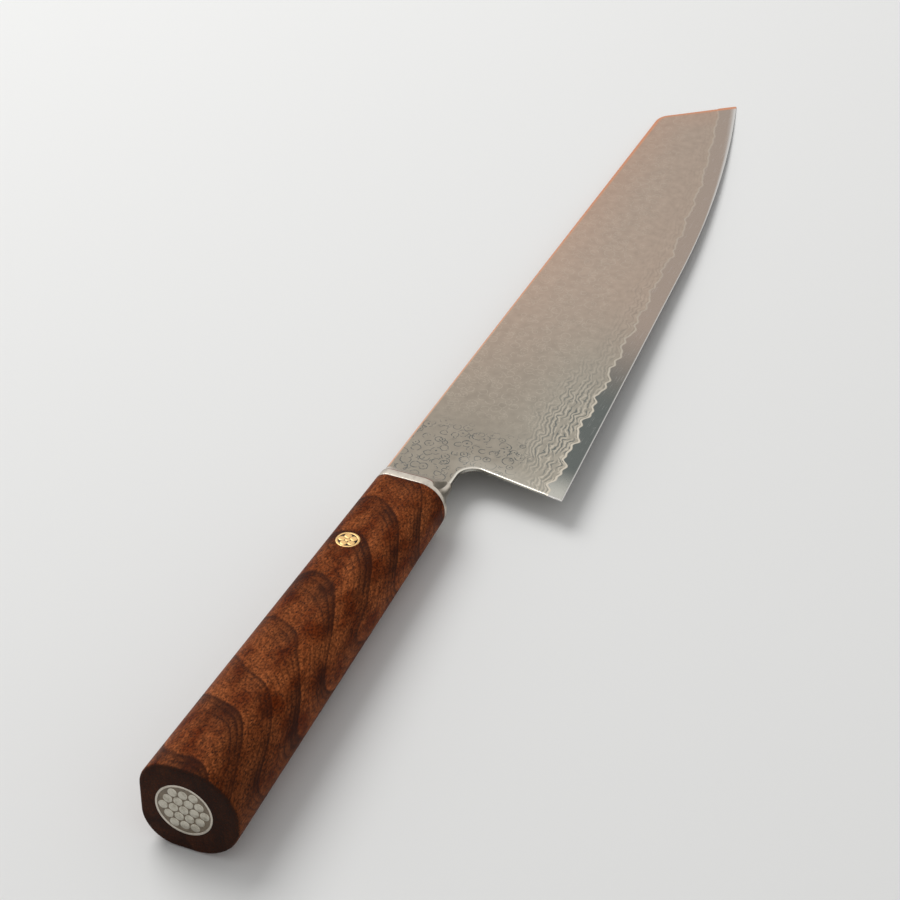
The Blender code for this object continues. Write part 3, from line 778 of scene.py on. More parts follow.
class Finish:
    """Base of all finishes. A subclass has a name and a slot, and works out its look."""

    name: str
    slot: Slot

    def look(self, graph: Graph, place: Field) -> Look:
        """The finish, from the place in the knife's frame in millimetres."""
        raise NotImplementedError

    @functools.cache
    def material(self) -> bpy.types.Material:
        """The finish as a material, made once.

        The Mapping node of kind Texture takes the frame's origin away, turns back by the tilt and
        divides by a millimetre.
        """
        material = bpy.data.materials.new(self.name)
        material.use_nodes = True
        graph = Graph(material.node_tree)
        inputs = {"Vector": graph.field("ShaderNodeTexCoord", {}, "Object"),
                  "Location": tuple(KNIFE.origin()), "Rotation": (0.0, KNIFE.tilt, 0.0),
                  "Scale": (MM, MM, MM)}
        look = self.look(graph, graph.field("ShaderNodeMapping", inputs, vector_type="TEXTURE"))
        relief = {"Strength": 1.0, "Distance": look.depth_mm * MM, "Height": look.height}
        values = {"Base Color": look.colour, "Roughness": look.roughness, "Metallic": look.metallic,
                  "Normal": graph.field("ShaderNodeBump", relief), **look.constants}
        shader = graph.tree.nodes["Principled BSDF"]
        for name, value in values.items():
            graph.put(shader.inputs[name], value)
        return material


SEAM_COLOUR: Colour = (0.51, 0.46, 0.38)
# Colours of the painted orange reflection along spine and clip.
NEAR_PAINTED_REFLECTION: Colour = (0.72, 0.40, 0.26)
FAR_PAINTED_REFLECTION: Colour = (0.62, 0.25, 0.125)


def painted_spine_reflection(graph: Graph, colour: Field, rough: Field) -> tuple[Field, Field]:
    """Colour and roughness with a painted orange reflection along spine and clip, which reddens towards the
    tip.
    """
    spine_reflection = graph.mix(graph.mark("run").step(0.0, 190.0), NEAR_PAINTED_REFLECTION, FAR_PAINTED_REFLECTION)
    return polish_and_reflection(graph, colour, spine_reflection, graph.mark("spine"), rough, 0.26)


@dataclass(frozen=True)
class Damascus(Finish):
    """Etched layered steel: raindrop rings by the bolster, wavy layers over the edge, clouds elsewhere."""

    name: str = "damascus cladding"
    slot: Slot = Slot.CLADDING
    near_colour: Colour = (0.235, 0.208, 0.168)
    far_colour: Colour = (0.345, 0.270, 0.214)
    low_colour: Colour = (0.285, 0.260, 0.214)
    ring_colour: Colour = (0.075, 0.080, 0.078)
    layer_colour: Colour = (0.085, 0.098, 0.095)
    pale_colour: Colour = (0.50, 0.45, 0.37)
    polish_and_glint_colour: Colour = (0.72, 0.68, 0.60)
    layer_pitch: float = 1.25
    roughness: float = 0.40

    def drops(self, graph: Graph, place: Field, run: Field, rise: Field) -> tuple[Field, Field]:
        """Masks of the dark rings by the bolster, in two sizes, and of the pale ghosts beyond."""
        large = rings(graph, place, 0.30, 0.052)
        small = rings(graph, graph.vector("ADD", place, (13.7, 5.1, 0.0)), 0.46, 0.074)
        small = small * graph.noise(place, 0.22, 1.0).step(0.50, 0.58)
        mask = graph.math("MAXIMUM", large, small)
        return (mask * (run.step(37.0, 27.0) * rise.step(7.0, 13.0)),
                mask * (run.step(30.0, 44.0) * rise.step(4.0, 13.0)))

    def layers(self, graph: Graph, place: Field, run: Field, rise: Field) -> tuple[Field, Field]:
        """Masks of the dark and the pale layer lines, which follow the waves of the clad line."""
        drift = graph.noise(graph.stretch(place, (0.5, 0.5, 0.5)), 0.9)
        phase = (rise + (drift - 0.5) * 2.2) * (math.tau / self.layer_pitch)
        wave = graph.math("SINE", phase)
        breaks = graph.noise(graph.stretch(place, (0.22, 0.6, 0.6)), 1.0).step(0.34, 0.52)
        area = graph.math("MAXIMUM", run.step(15.0, 29.0), rise.step(8.0, 4.0))
        close = rise.step(16.0, 4.0) * run.step(84.0, 44.0) * area
        faint = rise.step(10.0, 0.0) * run.step(170.0, 70.0).range(0.10, 0.32)
        reach = graph.math("MAXIMUM", close, faint) * breaks
        return wave.step(0.45, 0.98) * reach, wave.step(-0.45, -0.98) * reach

    def look(self, graph: Graph, place: Field) -> Look:
        """Clouds, then layer lines, rings, the bright seam, painted spine reflection, polished borders with
        painted glint.
        """
        run, rise = graph.mark("run"), graph.mark("rise")
        # Painted warm reflection: the colour warms towards the tip and turns greyer low by the edge.
        colour = graph.mix(run.step(15.0, 120.0), self.near_colour, self.far_colour)
        colour = graph.mix(rise.step(26.0, 3.0) * run.step(110.0, 50.0), colour, self.low_colour)
        clouds = graph.noise(place, 0.42, 3.0)
        colour = graph.shade(colour, clouds.range(0.82, 1.18))
        dark, pale = self.layers(graph, place, run, rise)
        drops, ghosts = self.drops(graph, place, run, rise)
        for mask, tone in ((ghosts * 0.22, self.pale_colour), (pale * 0.6, self.pale_colour),
                           (dark * run.step(19.0, 30.0).range(0.5, 0.9), self.layer_colour),
                           (drops * 0.95, self.ring_colour), (seam(graph, rise, run), SEAM_COLOUR)):
            colour = graph.mix(mask, colour, tone)
        satin = grain(graph, place, 0.9).range(self.roughness - 0.07, self.roughness + 0.07)
        colour, rough = painted_spine_reflection(graph, colour, satin + drops * 0.12)
        # The polished borders are brightened as a painted glint.
        colour, rough = polish_and_reflection(graph, colour, self.polish_and_glint_colour, graph.mark("back"), rough, 0.16)
        relief = clouds * 0.4 - graph.math("MAXIMUM", drops, dark) * 0.6
        return Look(colour, rough, 1.0, relief - scratches(graph, place, 0.35) * 0.3, 0.010)


@dataclass(frozen=True)
class CoreSteel(Finish):
    """Plain core steel: fine satin along the edge, with a bright ground bevel."""

    name: str = "core steel"
    slot: Slot = Slot.CORE
    heel_colour: Colour = (0.44, 0.43, 0.385)
    near_colour: Colour = (0.110, 0.120, 0.112)
    far_colour: Colour = (0.325, 0.258, 0.212)
    bevel_colour: Colour = (0.56, 0.54, 0.52)

    def look(self, graph: Graph, place: Field) -> Look:
        """Painted warm reflection towards the tip, fine grain, scratches, the bevel and spine reflection."""
        run = graph.mark("run")
        satin, lines = grain(graph, place, 1.4), scratches(graph, place, 0.6)
        # Painted warm reflection: the core warms from the heel towards the tip.
        colour = graph.mix(run.step(52.0, 100.0), self.near_colour, self.far_colour)
        colour = graph.mix(run.step(27.0, 14.0), colour, self.heel_colour)
        colour = graph.mix(seam(graph, graph.mark("rise"), run), colour, SEAM_COLOUR)
        colour = graph.mix(lines * 0.5, colour, self.bevel_colour)
        # The back mark brightens the ground bevel and the polished heel end, whose brightness is partly a
        # painted glint.
        colour, rough = polish_and_reflection(graph, colour, self.bevel_colour, graph.mark("back"),
                               satin.range(0.22, 0.36), 0.16)
        return Look(*painted_spine_reflection(graph, colour, rough), 1.0, satin - lines, 0.004)


@dataclass(frozen=True)
class Metal(Finish):
    """A sanded or satin metal in one colour, with grain, hair scratches and slight stains."""

    name: str
    slot: Slot
    colour: Colour
    stain: Colour
    roughness: float = 0.30
    turn_degrees: float = 90.0
    scratch_amount: float = 0.8

    def look(self, graph: Graph, place: Field) -> Look:
        """Stains by the grain, scratches across the piece, and roughness that varies."""
        turned = graph.stretch(place, (1.0, 1.0, 1.0), self.turn_degrees)
        satin, lines = grain(graph, place, 0.8), scratches(graph, turned, self.scratch_amount)
        colour = graph.mix(satin.step(0.44, 0.68), self.colour, self.stain)
        colour = graph.mix(lines * 0.35, colour, self.stain)
        rough = satin.range(self.roughness - 0.08, self.roughness + 0.10)
        return Look(colour, rough, 1.0, satin - lines, 0.006)


@dataclass(frozen=True)
class BolsterSteel(Metal):
    """Satin steel of the bolster, with a thin brown line on the ridge between collar and nose."""

    ridge_x: float = 0.0
    ridge_colour: Colour = (0.22, 0.105, 0.075)

    def look(self, graph: Graph, place: Field) -> Look:
        """The metal with the ridge's line by its place; the line ends where the corner turns round."""
        plain = super().look(graph, place)
        x, y, _ = graph.fields("ShaderNodeSeparateXYZ", {0: place})
        line = abs(x - self.ridge_x).step(0.34, 0.14) * y.step(-5.9, -5.0)
        return replace(plain, colour=graph.mix(line, plain.colour, self.ridge_colour))


@dataclass(frozen=True)
class Resin(Finish):
    """Cast resin, sanded flush: a cloudy colour with fine specks under a thin gloss."""

    name: str
    slot: Slot
    colour: Colour
    speck: Colour
    gloss: float = 0.5
    roughness: float = 0.35

    def look(self, graph: Graph, place: Field) -> Look:
        """Clouds of the speck colour and fine pits."""
        clouds = grain(graph, place, 1.6)
        colour = graph.mix(clouds.step(0.35, 0.7), self.colour, self.speck)
        colour = graph.mix(graph.noise(place, 9.0, 1.0).step(0.62, 0.72) * 0.5, colour, self.speck)
        rough = clouds.range(self.roughness - 0.06, self.roughness + 0.12)
        sheen = {"Specular IOR Level": self.gloss, "Coat Weight": 0.3 * self.gloss}
        return Look(colour, rough, 0.0, clouds, 0.01, sheen)


@dataclass(frozen=True)
class Walnut(Finish):
    """Oiled walnut: figure lines that sweep back along the edge side, speckles, pores and end grain."""

    name: str = "walnut"
    slot: Slot = Slot.WALNUT
    lit_colour: Colour = (0.262, 0.074, 0.022)
    base_colour: Colour = (0.098, 0.017, 0.003)
    line_colour: Colour = (0.024, 0.007, 0.004)
    pore_colour: Colour = (0.016, 0.006, 0.004)
    end_colour: Colour = (0.021, 0.0135, 0.011)
    pitch: float = 16.0
    sweep: float = 30.0
    fibre_turn: float = -7.0

    def figure(self, graph: Graph, place: Field) -> Field:
        """Phase of the growth lines: x plus the sweep times a power of the way to the edge side, warped."""
        x, y, z = graph.fields("ShaderNodeSeparateXYZ", {0: place})
        across = graph.math("POWER", graph.math("MAXIMUM", (11.0 - y) / 22.0, 0.0), 3.8)
        bend = graph.math("MINIMUM", across * self.sweep, 2.0 * self.sweep)
        warp = graph.noise(graph.stretch(place, (0.032, 0.06, 0.06)), 1.0, 0.6) * 20.0
        return (x + bend + (z * 0.55 + warp)) / self.pitch

    def lines(self, graph: Graph, place: Field, side: Field, clouds: Field) -> Field:
        """Mask of the growth lines, thin or smoky by places, with six finer ones to each."""
        figure = self.figure(graph, place)
        phase, fine_phase = graph.math("FRACT", figure), graph.math("FRACT", figure * 6.0)
        strength = graph.noise(graph.stretch(place, (0.05, 0.14, 0.14)), 1.0, 1.0).step(0.38, 0.60)
        thin = phase.step(0.86, 0.94) * phase.step(1.0, 0.95)
        smoky = phase.step(0.30, 0.88) * phase.step(1.0, 0.93)
        fine = fine_phase.step(0.5, 0.9) * fine_phase.step(1.0, 0.92) * clouds.range(0.0, 0.62)
        wide = thin * strength.range(0.36, 0.16) + smoky * strength.range(0.22, 0.72)
        return graph.math("MINIMUM", wide + fine * side.step(9.0, -3.0).range(0.35, 1.0), 0.85)

    def look(self, graph: Graph, place: Field) -> Look:
        """Broad clouds, sharp-sided growth lines, fine fibre, short pores, dark end grain, painted shade by
        the butt.
        """
        def noise(scale: Colour, turn: float = 0.0, detail: float = 2.0) -> Field:
            """Noise stretched along the grain."""
            return graph.noise(graph.stretch(place, scale, turn), 1.0, detail)

        along, side, _ = graph.fields("ShaderNodeSeparateXYZ", {0: place})
        clouds = noise((0.10, 0.22, 0.22))
        fibre = noise((0.55, 3.6, 3.6), self.fibre_turn, 3.0)
        speckle = noise((1.3, 2.2, 2.2), self.fibre_turn).step(0.32, 0.68).range(0.52, 1.36)
        # Painted shade: the wood darkens on the edge side towards the butt.
        corner = side.step(1.0, -8.0) * along.step(-88.0, -112.0)
        colour = graph.mix(clouds.step(0.28, 0.70), self.base_colour, self.lit_colour)
        colour = graph.shade(colour, fibre.range(0.4, 1.6) * speckle * corner.range(1.0, 0.62))
        colour = graph.mix(self.lines(graph, place, side, clouds), colour, self.line_colour)
        cells = graph.field("ShaderNodeTexVoronoi", {
            "Vector": graph.stretch(place, (0.75, 2.6, 2.6), self.fibre_turn), "Scale": 1.0})
        pore = cells.step(0.34, 0.18) * noise((0.4, 0.8, 0.8), 0.0, 1.0).step(0.36, 0.56)
        colour = graph.mix(pore * 0.85, colour, self.pore_colour)
        lighter = noise((0.5, 2.6, 2.6), 0.0, 3.0).step(0.45, 0.75) * 0.35
        end_colour = graph.mix(lighter, self.end_colour, self.base_colour)
        end = along.step(GRIP.butt_x + 0.75, GRIP.butt_x + 0.2)
        colour = graph.mix(end * 0.88, colour, end_colour)
        return Look(colour, fibre.range(0.34, 0.50), 0.0, fibre * 0.45 - pore, 0.045,
                    {"Specular IOR Level": 0.02})


BOLSTER_STEEL = BolsterSteel("bolster steel", Slot.STAINLESS, (0.54, 0.49, 0.42), (0.40, 0.36, 0.31))
SATIN_STEEL = Metal("satin stainless", Slot.STAINLESS, (0.56, 0.51, 0.44), (0.42, 0.38, 0.32))
BRASS = Metal("pale brass", Slot.BRASS, (0.63, 0.41, 0.17), (0.52, 0.33, 0.135), 0.36, 20.0)
SILVER = Metal("nickel silver", Slot.SILVER, (0.50, 0.47, 0.40), (0.33, 0.30, 0.24), 0.28, 35.0)
DARK_RESIN = Resin("dark resin", Slot.DARK_RESIN, (0.010, 0.006, 0.004), (0.034, 0.020, 0.013), 0.1)
TAN_RESIN = Resin("tan resin", Slot.TAN_RESIN, (0.17, 0.125, 0.075), (0.105, 0.08, 0.05))
EPOXY = Resin("cured epoxy", Slot.EPOXY, (0.25, 0.20, 0.12), (0.36, 0.30, 0.20))


def section(half_width: np.ndarray, half_height: np.ndarray, spine_radius: np.ndarray,
            edge_radius: np.ndarray, corner_steps: int = 22, side_steps: int = 6) -> np.ndarray:
    """Cross-sections of the handle: rectangles with unlike round corners on spine and edge side.

    Each corner is a quarter circle of its radius, and each side between two corners is a straight run.

    Args:
        half_width: half sizes along y, one for each section.
        half_height: half sizes along z.
        spine_radius: radii of the two corners at +y.
        edge_radius: radii of the two corners at -y.
        corner_steps: steps on each quarter circle.
        side_steps: steps on each straight side.

    Returns:
        Array (sections, points, 2) of (y, z), anticlockwise seen from the butt's far side.
    """
    runs, filled = [], []
    corners = ((1, 1, spine_radius, 0.0), (-1, 1, edge_radius, 90.0),
               (-1, -1, edge_radius, 180.0), (1, -1, spine_radius, 270.0))
    for side_y, side_z, radius, first in corners:
        angle = np.radians(first + 90.0 * np.linspace(0.0, 1.0, corner_steps + 1))[None, :]
        y = side_y * (half_width - radius)[:, None] + radius[:, None] * np.cos(angle)
        z = side_z * (half_height - radius)[:, None] + radius[:, None] * np.sin(angle)
        runs.append(np.stack([y, z], axis=-1))
    share = np.linspace(0.0, 1.0, side_steps + 1)[None, 1:-1, None]
    for run, following in zip(runs, runs[1:] + runs[:1]):
        filled += [run, run[:, -1:] * (1.0 - share) + following[:, :1] * share]
    return np.concatenate(filled, axis=1)


@dataclass(frozen=True)
class GripShape:
    """Sizes of the tapered handle, shared by the wood, the bolster's collar and the inlays."""

    front_x: float = -2.65
    butt_x: float = -121.65
    half_width: tuple[float, float] = (9.6, 12.2)
    half_height: tuple[float, float] = (7.3, 12.097)
    spine_radius: tuple[float, float] = (3.8, 8.4)
    edge_radius: tuple[float, float] = (7.0, 11.6)

    def size_at(self, x: np.ndarray, ends: tuple[float, float]) -> np.ndarray:
        """A size that changes evenly from the wood's front to the butt."""
        share = (x - self.front_x) / (self.butt_x - self.front_x)
        return ends[0] + (ends[1] - ends[0]) * share

    def loops(self, x: np.ndarray, inset: np.ndarray) -> np.ndarray:
        """Cross-sections (sections, points, 3) at places x, each drawn in by an inset."""
        spine, edge = (np.maximum(self.size_at(x, ends) - inset, 0.3)
                       for ends in (self.spine_radius, self.edge_radius))
        width, height = (self.size_at(x, ends) - inset for ends in (self.half_width, self.half_height))
        flat = section(width, height, spine, edge)
        along = np.broadcast_to(x[:, None, None], (*flat.shape[:2], 1))
        return np.concatenate([along, flat], axis=-1)

    def surface_z(self, x: np.ndarray, y: np.ndarray) -> np.ndarray:
        """Height of the wood's upper surface: the flat, less the drop of the round corners."""
        drop = 0.0
        for side, ends in ((1.0, self.spine_radius), (-1.0, self.edge_radius)):
            radius = self.size_at(x, ends)
            over = np.clip(side * y - (self.size_at(x, self.half_width) - radius), 0.0, radius)
            drop = drop + radius - np.sqrt(radius**2 - over**2)
        return self.size_at(x, self.half_height) - drop


GRIP = GripShape()
# Cutters reach this far past a face, or past the whole handle, in millimetres.
CUT_PAST = 5.0
CUT_FAR = 20.0
# Edges of the inlays stay sharp above this angle, in degrees.
INLAY_SHARP = 40.0


def closed_wall(face: np.ndarray, far: np.ndarray, is_ring: bool) -> Loops:
    """Joins the loops of a face to those of its far side; a ring also closes along its bore."""
    loops = [face, far, face[:1]] if is_ring else [face, far]
    return Loops(np.concatenate(loops), capped=not is_ring)


def circles(first: float, second: float, radii: Sequence[float], sides: int) -> list[np.ndarray]:
    """Both coordinates (radii, sides) of circles round one centre."""
    angle = np.linspace(0.0, math.tau, sides, endpoint=False)[None, :]
    size = np.array(radii)[:, None]
    return [first + size * np.cos(angle), second + size * np.sin(angle)]


def pin_plug(x: float, y: float, inner: float, outer: float, proud: float, sides: int = 72) -> Loops:
    """A plug or tube across the handle whose two ends follow the wood's surface.

    The loops are circles round (x, y), stepped from the inner radius out over the top, down the wall
    and back in below. Heights on top are the wood's surface plus proud, less an eased rim.
    """
    ease = 0.018
    radii = np.array([inner, inner + ease, 0.5 * (inner + outer), outer - ease, outer])
    eased = np.array([ease if inner > 0.0 else 0.0, 0.0, 0.0, 0.0, ease]) * 0.6
    px, py = circles(x, y, radii, sides)
    top = GRIP.surface_z(px, py) + proud - eased[:, None]
    upper = np.stack([px, py, top], axis=-1)
    lower = upper[::-1] * np.array([1.0, 1.0, -1.0])
    return closed_wall(upper, lower, inner > 0.0)


def cap_plug(y: float, z: float, inner: float, outer: float, depth: float, proud: float,
             crown: float = 0.0, sides: int = 64) -> Loops:
    """A plug or ring in the butt: circles round (y, z), stepped in the butt's face and down the wall.

    The face stands out by proud plus crown times (1 - (radius / outer) squared), less an eased rim.
    """
    ease = 0.05
    radii = np.array([inner, inner + ease, 0.35 * inner + 0.65 * outer, outer - ease, outer])
    eased = np.array([ease if inner > 0.0 else 0.0, 0.0, 0.0, 0.0, ease])
    lift = proud + crown * (1.0 - (radii / outer)**2) - eased
    py, pz = circles(y, z, radii, sides)
    out = np.stack([GRIP.butt_x - lift[:, None] + 0.0 * py, py, pz], axis=-1)
    inside = np.stack([GRIP.butt_x + depth + 0.0 * py, py, pz], axis=-1)[::-1]
    return closed_wall(out, inside, inner > 0.0)


def block(low: Sequence[float], high: Sequence[float]) -> Loops:
    """A box between two corners, as two rectangular loops."""
    y, z = np.array([low[1], high[1], high[1], low[1]]), np.array([low[2], low[2], high[2], high[2]])
    ends = [np.stack([np.full(4, x), y, z], axis=-1) for x in (low[0], high[0])]
    return Loops(np.stack(ends))


@dataclass
class Handle:
    """The walnut grip: tapered, rounded at the butt's rim, with the tang's slot, pin bore and cap recess."""

    rim_radius: float = 0.9
    front_ease: float = 0.12
    tang: tuple[float, float, float] = (-88.6, -2.4, 8.1)
    slot_half: float = 1.5
    pin: tuple[float, float, float] = (-31.55, 3.54, 3.03)
    cap: tuple[float, float, float] = (1.2, 7.13, 4.05)
    cutter_sides: int = 96
    sharp_degrees: float = 32.0

    def wood(self) -> Loops:
        """Sections from the front to the butt; rim insets follow a quarter circle at both ends."""
        turn = np.linspace(0.0, 0.5 * math.pi, 9)
        front_x = GRIP.front_x - self.front_ease * (1.0 - np.cos(turn))
        front_in = self.front_ease * (1.0 - np.sin(turn))
        butt_x = GRIP.butt_x + self.rim_radius * (1.0 - np.sin(turn))
        butt_in = self.rim_radius * (1.0 - np.cos(turn))
        along = np.linspace(front_x[-1], butt_x[0], 60)[1:-1]
        x = np.concatenate([front_x, along, butt_x])
        inset = np.concatenate([front_in, 0.0 * along, butt_in])
        return Loops(GRIP.loops(x, inset))

    def build(self) -> None:
        """Makes the grip, cuts its slot, bore and recess, and dresses it."""
        grip = build_mesh("walnut_grip", [self.wood()], self.sharp_degrees)
        slot = block((*self.tang[:2], -self.slot_half), (CUT_PAST, self.tang[2], self.slot_half))
        x, y = circles(*self.pin[:2], self.pin[2:] * 2, self.cutter_sides)
        bore = Loops(np.stack([x, y, np.array([[CUT_FAR], [-CUT_FAR]]) + 0.0 * x], axis=-1))
        middle, radius, depth = self.cap
        y, z = circles(middle, 0.0, (radius, radius), self.cutter_sides)
        recess = Loops(np.stack([GRIP.butt_x + np.array([[-1.0], [depth]]) + 0.0 * y, y, z], axis=-1))
        carve(grip, [slot, bore, recess], self.sharp_degrees)
        dress(grip, "handle", Walnut())


@dataclass
class Bolster:
    """Satin steel collar whose nose slopes down to the blade's neck, with the blade's slot in it.

    On the edge side a scoop parts the round corners from the flat slopes and bites into the collar.
    """

    collar_x: float = -2.6
    nose_x: float = 7.5
    lip: float = 0.65
    ease: float = 0.22
    slot_half: float = 1.02
    slot_floor: float = -6.65
    bite: float = 1.2
    hollow: float = 0.8
    scoop_y: tuple[float, float] = (-4.9, -6.0)
    tang_y: tuple[float, float] = (-2.4, 7.65)
    sharp_degrees: float = 28.0

    def nose_loop(self, blade: BladeShape, inset: float) -> np.ndarray:
        """Cross-section (points, 2) of the nose's front end, a lip round the neck, drawn in by an inset."""
        low, high = blade.neck_y - self.lip, float(blade.spine_y(np.array(self.nose_x)))
        half = np.array([blade.spine_half + self.lip - inset])
        flat = section(np.array([0.5 * (high - low) - inset]), half, half, half)[0]
        return flat + np.array([0.5 * (high + low), 0.0])

    def body(self, blade: BladeShape) -> Loops:
        """Loops of the collar and the nose.

        The collar's sections are eased at the back. From the collar's front edge the sections blend
        into the nose's front end: evenly over the flats, and on the scooped corners with some of the
        cube of the way that is left. A round of the size ease replaces the edge between the two, as the
        mean of a corner and its neighbours, and another one draws in the nose's front. Last, the
        scooped points move back by the bite, less with the distance from the collar's front edge.
        """
        turn = np.linspace(0.0, 0.5 * math.pi, 6)
        back_x = self.collar_x + self.ease * (1.0 - np.cos(turn))
        back = GRIP.loops(back_x, self.ease * (1.0 - np.sin(turn)))
        straight = GRIP.loops(np.array([-1.2, -0.45]), np.zeros(2))
        corner = GRIP.loops(np.array([0.0]), np.zeros(1))[0]
        front = np.full((corner.shape[0], 1), self.nose_x)
        nose = np.concatenate([front, self.nose_loop(blade, 0.0)], axis=1)
        way = unit_range((corner[:, 1] - self.scoop_y[0]) / (self.scoop_y[1] - self.scoop_y[0]))
        scooped = way * way * (3.0 - 2.0 * way)

        def slope(share: float) -> np.ndarray:
            """Section at a share of the way from the collar's edge to the nose's end."""
            gain = self.hollow * scooped[:, None] * (1.0 - share - (1.0 - share)**3)
            section_share = share + gain * np.array([0.0, 1.0, 1.0])
            return corner * (1.0 - section_share) + nose * section_share

        bend = np.linspace(0.0, 1.0, 6)[:, None, None]
        before, after = straight[-1][None], slope(0.06)[None]
        soft = before * (1 - bend)**2 + 2.0 * corner[None] * bend * (1 - bend) + after * bend**2
        tip_x = self.nose_x - self.ease * (1.0 - np.sin(turn))[1:]
        tips = [np.concatenate([np.full((corner.shape[0], 1), x), self.nose_loop(blade, inset)], axis=1)
                for x, inset in zip(tip_x, self.ease * (1.0 - np.cos(turn))[1:])]
        down = np.stack([slope(share) for share in np.linspace(0.1, 0.975, 16)])
        loops = np.concatenate([back, straight[:1], soft, down, np.stack(tips)])
        x = loops[..., 0]
        near = np.minimum(1.0 - x / self.nose_x, 1.0 - x / self.collar_x)
        loops[..., 0] = x - self.bite * scooped * unit_range(near)
        return Loops(loops)

    def build(self, blade: BladeShape) -> None:
        """Makes the bolster, cuts the slots of neck and tang, and dresses it."""
        piece = build_mesh("ground_bolster", [self.body(blade)], self.sharp_degrees)
        half = self.slot_half
        neck = block((blade.shoulder_x - 0.05, self.slot_floor, -half), (CUT_FAR, CUT_FAR, half))
        tang = block((-CUT_FAR, self.tang_y[0], -half), (CUT_PAST, self.tang_y[1], half))
        carve(piece, [neck, tang], self.sharp_degrees)
        dress(piece, "bolster", BOLSTER_STEEL)


@dataclass
class MosaicPin:
    """Brass tube through the handle, five rods round a thinner one, and dark resin between them."""

    x: float = -31.55
    y: float = 3.54
    radius: float = 3.0
    wall: float = 0.55
    rods: int = 5
    spacing: float = 0.006
    turn_degrees: float = 20.0
    proud: float = 0.012
    resin_depth: float = 0.03
    rod_sides: int = 32

    def places(self) -> list[tuple[str, float, float, float]]:
        """Rods as (node, x, y, radius): a ring of equal rods that touch at spacing, and a centre one."""
        bore = self.radius - self.wall
        lean = math.sin(math.pi / self.rods)
        radius = bore * lean / (1.0 + lean) - self.spacing
        reach = bore - radius - self.spacing
        found = [("pin_centre_rod", self.x, self.y, reach - radius - self.spacing)]
        for index in range(self.rods):
            angle = math.radians(self.turn_degrees) + math.tau * index / self.rods
            x, y = self.x + reach * math.cos(angle), self.y + reach * math.sin(angle)
            found.append((f"pin_outer_rod_{index + 1}", x, y, radius))
        return found

    def build(self) -> None:
        """Makes the tube, the resin and the rods, sanded flush with the wood."""
        bore = self.radius - self.wall
        plugs = {
            "pin_tube": (pin_plug(self.x, self.y, bore, self.radius, self.proud), BRASS),
            "pin_resin": (pin_plug(self.x, self.y, 0.0, bore, -self.resin_depth), DARK_RESIN),
        }
        for node, x, y, radius in self.places():
            plugs[node] = pin_plug(x, y, 0.0, radius, self.proud, self.rod_sides), BRASS
        for node, (plug, finish) in plugs.items():
            dress(build_mesh(f"sanded_{node}", [plug], INLAY_SHARP), node, finish)


@dataclass
class MosaicCap:
    """Round mosaic in the butt: a steel ring, silver rods on a hexagonal lattice, and tan resin."""

    y: float = 1.2
    radius: float = 7.1
    wall: float = 0.55
    depth: float = 4.0
    resin_depth: float = 0.06
    rod_radius: float = 1.18
    rod_crown: float = 0.13
    rod_sides: int = 36
    spacing: float = 0.2

    def places(self) -> list[tuple[float, float]]:
        """Centres of the rods: the points of a hexagonal lattice whose rods fit in the ring."""
        pitch = 2.0 * self.rod_radius + self.spacing
        reach = self.radius - self.wall - self.rod_radius - self.spacing
        count = math.ceil(2.0 * reach / pitch)
        lattice = ((pitch * (column + 0.5 * row), pitch * row * math.sqrt(0.75))
                   for row in range(-count, count + 1) for column in range(-count, count + 1))
        return [(self.y + y, z) for y, z in lattice if math.hypot(y, z) <= reach]

    def build(self) -> None:
        """Makes the ring, the resin and the rods, each rod with a slight crown."""
        bore = self.radius - self.wall
        ring = cap_plug(self.y, 0.0, bore, self.radius, self.depth, 0.0)
        dress(build_mesh("polished_cap_ring", [ring], INLAY_SHARP), "cap_ring", SATIN_STEEL)
        resin = cap_plug(self.y, 0.0, 0.0, bore, self.depth, -self.resin_depth)
        dress(build_mesh("sanded_cap_resin", [resin], INLAY_SHARP), "cap_resin", TAN_RESIN)
        for index, (y, z) in enumerate(self.places(), start=1):
            node = f"cap_rod_{index:02d}"
            rod = cap_plug(y, z, 0.0, self.rod_radius, self.depth, 0.0, self.rod_crown, self.rod_sides)
            dress(build_mesh(f"polished_{node}", [rod], INLAY_SHARP), node, SILVER)


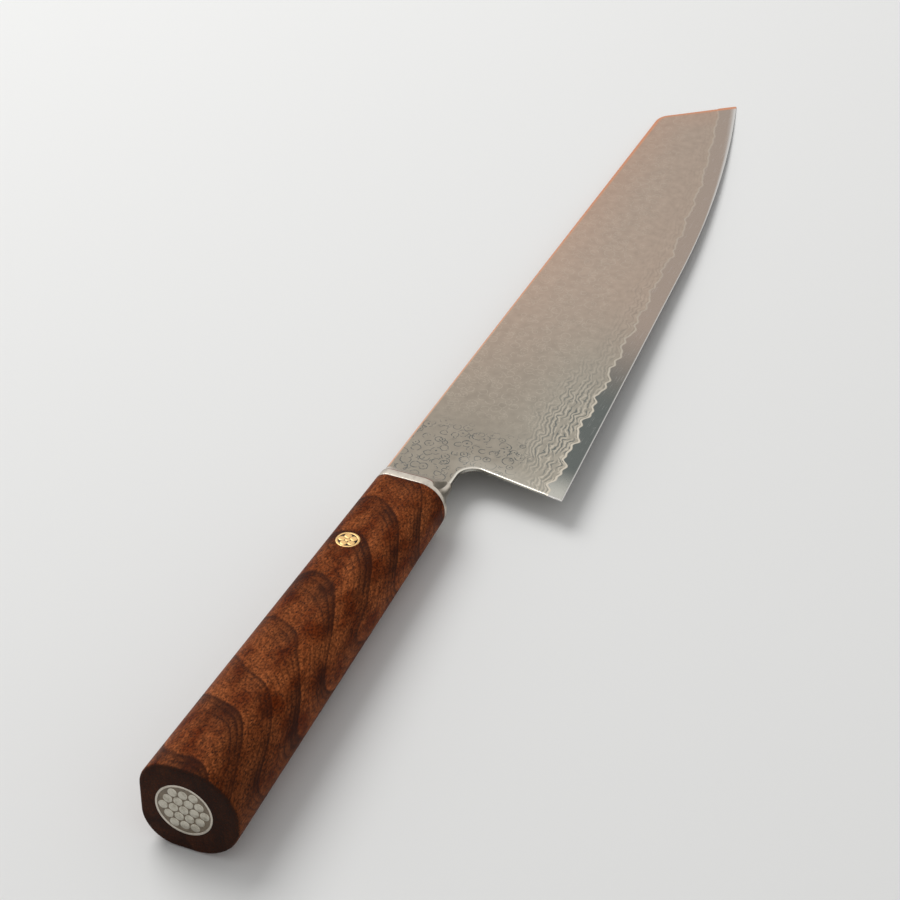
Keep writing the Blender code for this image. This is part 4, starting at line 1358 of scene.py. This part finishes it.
@dataclass(frozen=True)
class Studio:
    """Pale floor, soft light and the photograph's camera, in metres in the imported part's frame."""

    floor_size: float = 6.0
    floor_colour: Colour = (0.80, 0.80, 0.79)
    backdrop_colour: Colour = (1.0, 1.0, 1.0)
    ambient: float = 0.50
    camera_place: Colour = (-0.507277, -0.199429, 0.424368)
    camera_turn: Colour = (51.4051, 0.72314, -66.8626)
    focal_length: float = 103.54
    lamp_place: Colour = (0.35, 0.75, 1.05)
    lamp_aim: Colour = (0.0, 0.0, 0.0)
    lamp_size: float = 0.9
    lamp_watts: float = 11.0

    def floor(self) -> None:
        """Lays a pale floor under the knife, which looks white to the camera where nothing shades it."""
        half = 0.5 * self.floor_size
        mesh = bpy.data.meshes.new("floor")
        mesh.from_pydata([(-half, -half, 0.0), (half, -half, 0.0), (half, half, 0.0), (-half, half, 0.0)],
                         [], [(0, 1, 2, 3)])
        floor = link("floor", mesh)
        material = bpy.data.materials.new("pale floor")
        material.use_nodes = True
        shader = material.node_tree.nodes["Principled BSDF"]
        shader.inputs["Base Color"].default_value = (*self.floor_colour, 1.0)
        shader.inputs["Roughness"].default_value = 0.9
        mesh.materials.append(material)

    def world(self) -> None:
        """Even pale surroundings, which look white to the camera and in reflections."""
        world = bpy.data.worlds.new("studio")
        bpy.context.scene.world = world
        world.use_nodes = True
        graph = Graph(world.node_tree)
        light = world.node_tree.nodes["Background"]
        light.inputs["Color"].default_value = (*self.backdrop_colour, 1.0)
        path = graph.node("ShaderNodeLightPath", {})
        camera, glossy, through = (Field(graph, path.outputs[f"Is {kind} Ray"])
                                   for kind in ("Camera", "Glossy", "Transmission"))
        seen = graph.math("MAXIMUM", graph.math("MAXIMUM", camera, glossy), through)
        graph.put(light.inputs["Strength"], seen.range(self.ambient, 1.0))

    def lamp(self) -> None:
        """One large soft lamp, high behind the spine."""
        data = bpy.data.lights.new("soft lamp", "AREA")
        data.shape = "DISK"
        data.size = self.lamp_size
        data.energy = self.lamp_watts
        lamp = link("soft lamp", data)
        lamp.location = self.lamp_place
        aim = Vector(self.lamp_aim) - Vector(self.lamp_place)
        lamp.rotation_euler = aim.to_track_quat("-Z", "Y").to_euler()

    def camera(self) -> None:
        """Camera at the photograph's viewing angle."""
        data = bpy.data.cameras.new("camera")
        data.lens = self.focal_length
        data.clip_start = 0.01
        camera = link("camera", data)
        camera.location = self.camera_place
        camera.rotation_euler = [math.radians(angle) for angle in self.camera_turn]
        bpy.context.scene.camera = camera

    def build(self) -> None:
        """Sets the stage."""
        self.floor()
        self.world()
        self.lamp()
        self.camera()
        bpy.context.scene.view_settings.view_transform = "Standard"


def main() -> None:
    """Builds the knife's sub-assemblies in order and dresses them."""
    logging.basicConfig(level=logging.INFO, format="%(message)s")
    blade = Blade()
    blade.build()
    Bolster().build(blade.shape)
    for assembly in (Handle(), MosaicPin(), MosaicCap()):
        assembly.build()
    bedding = frame["nodes"]["tang_bedding"]
    bedding.data.materials.clear()
    bedding.data.materials.append(EPOXY.material())
    LOG.info("tang_bedding: kept with cured epoxy")
    Studio().build()


if __name__ == "__main__":
    main()
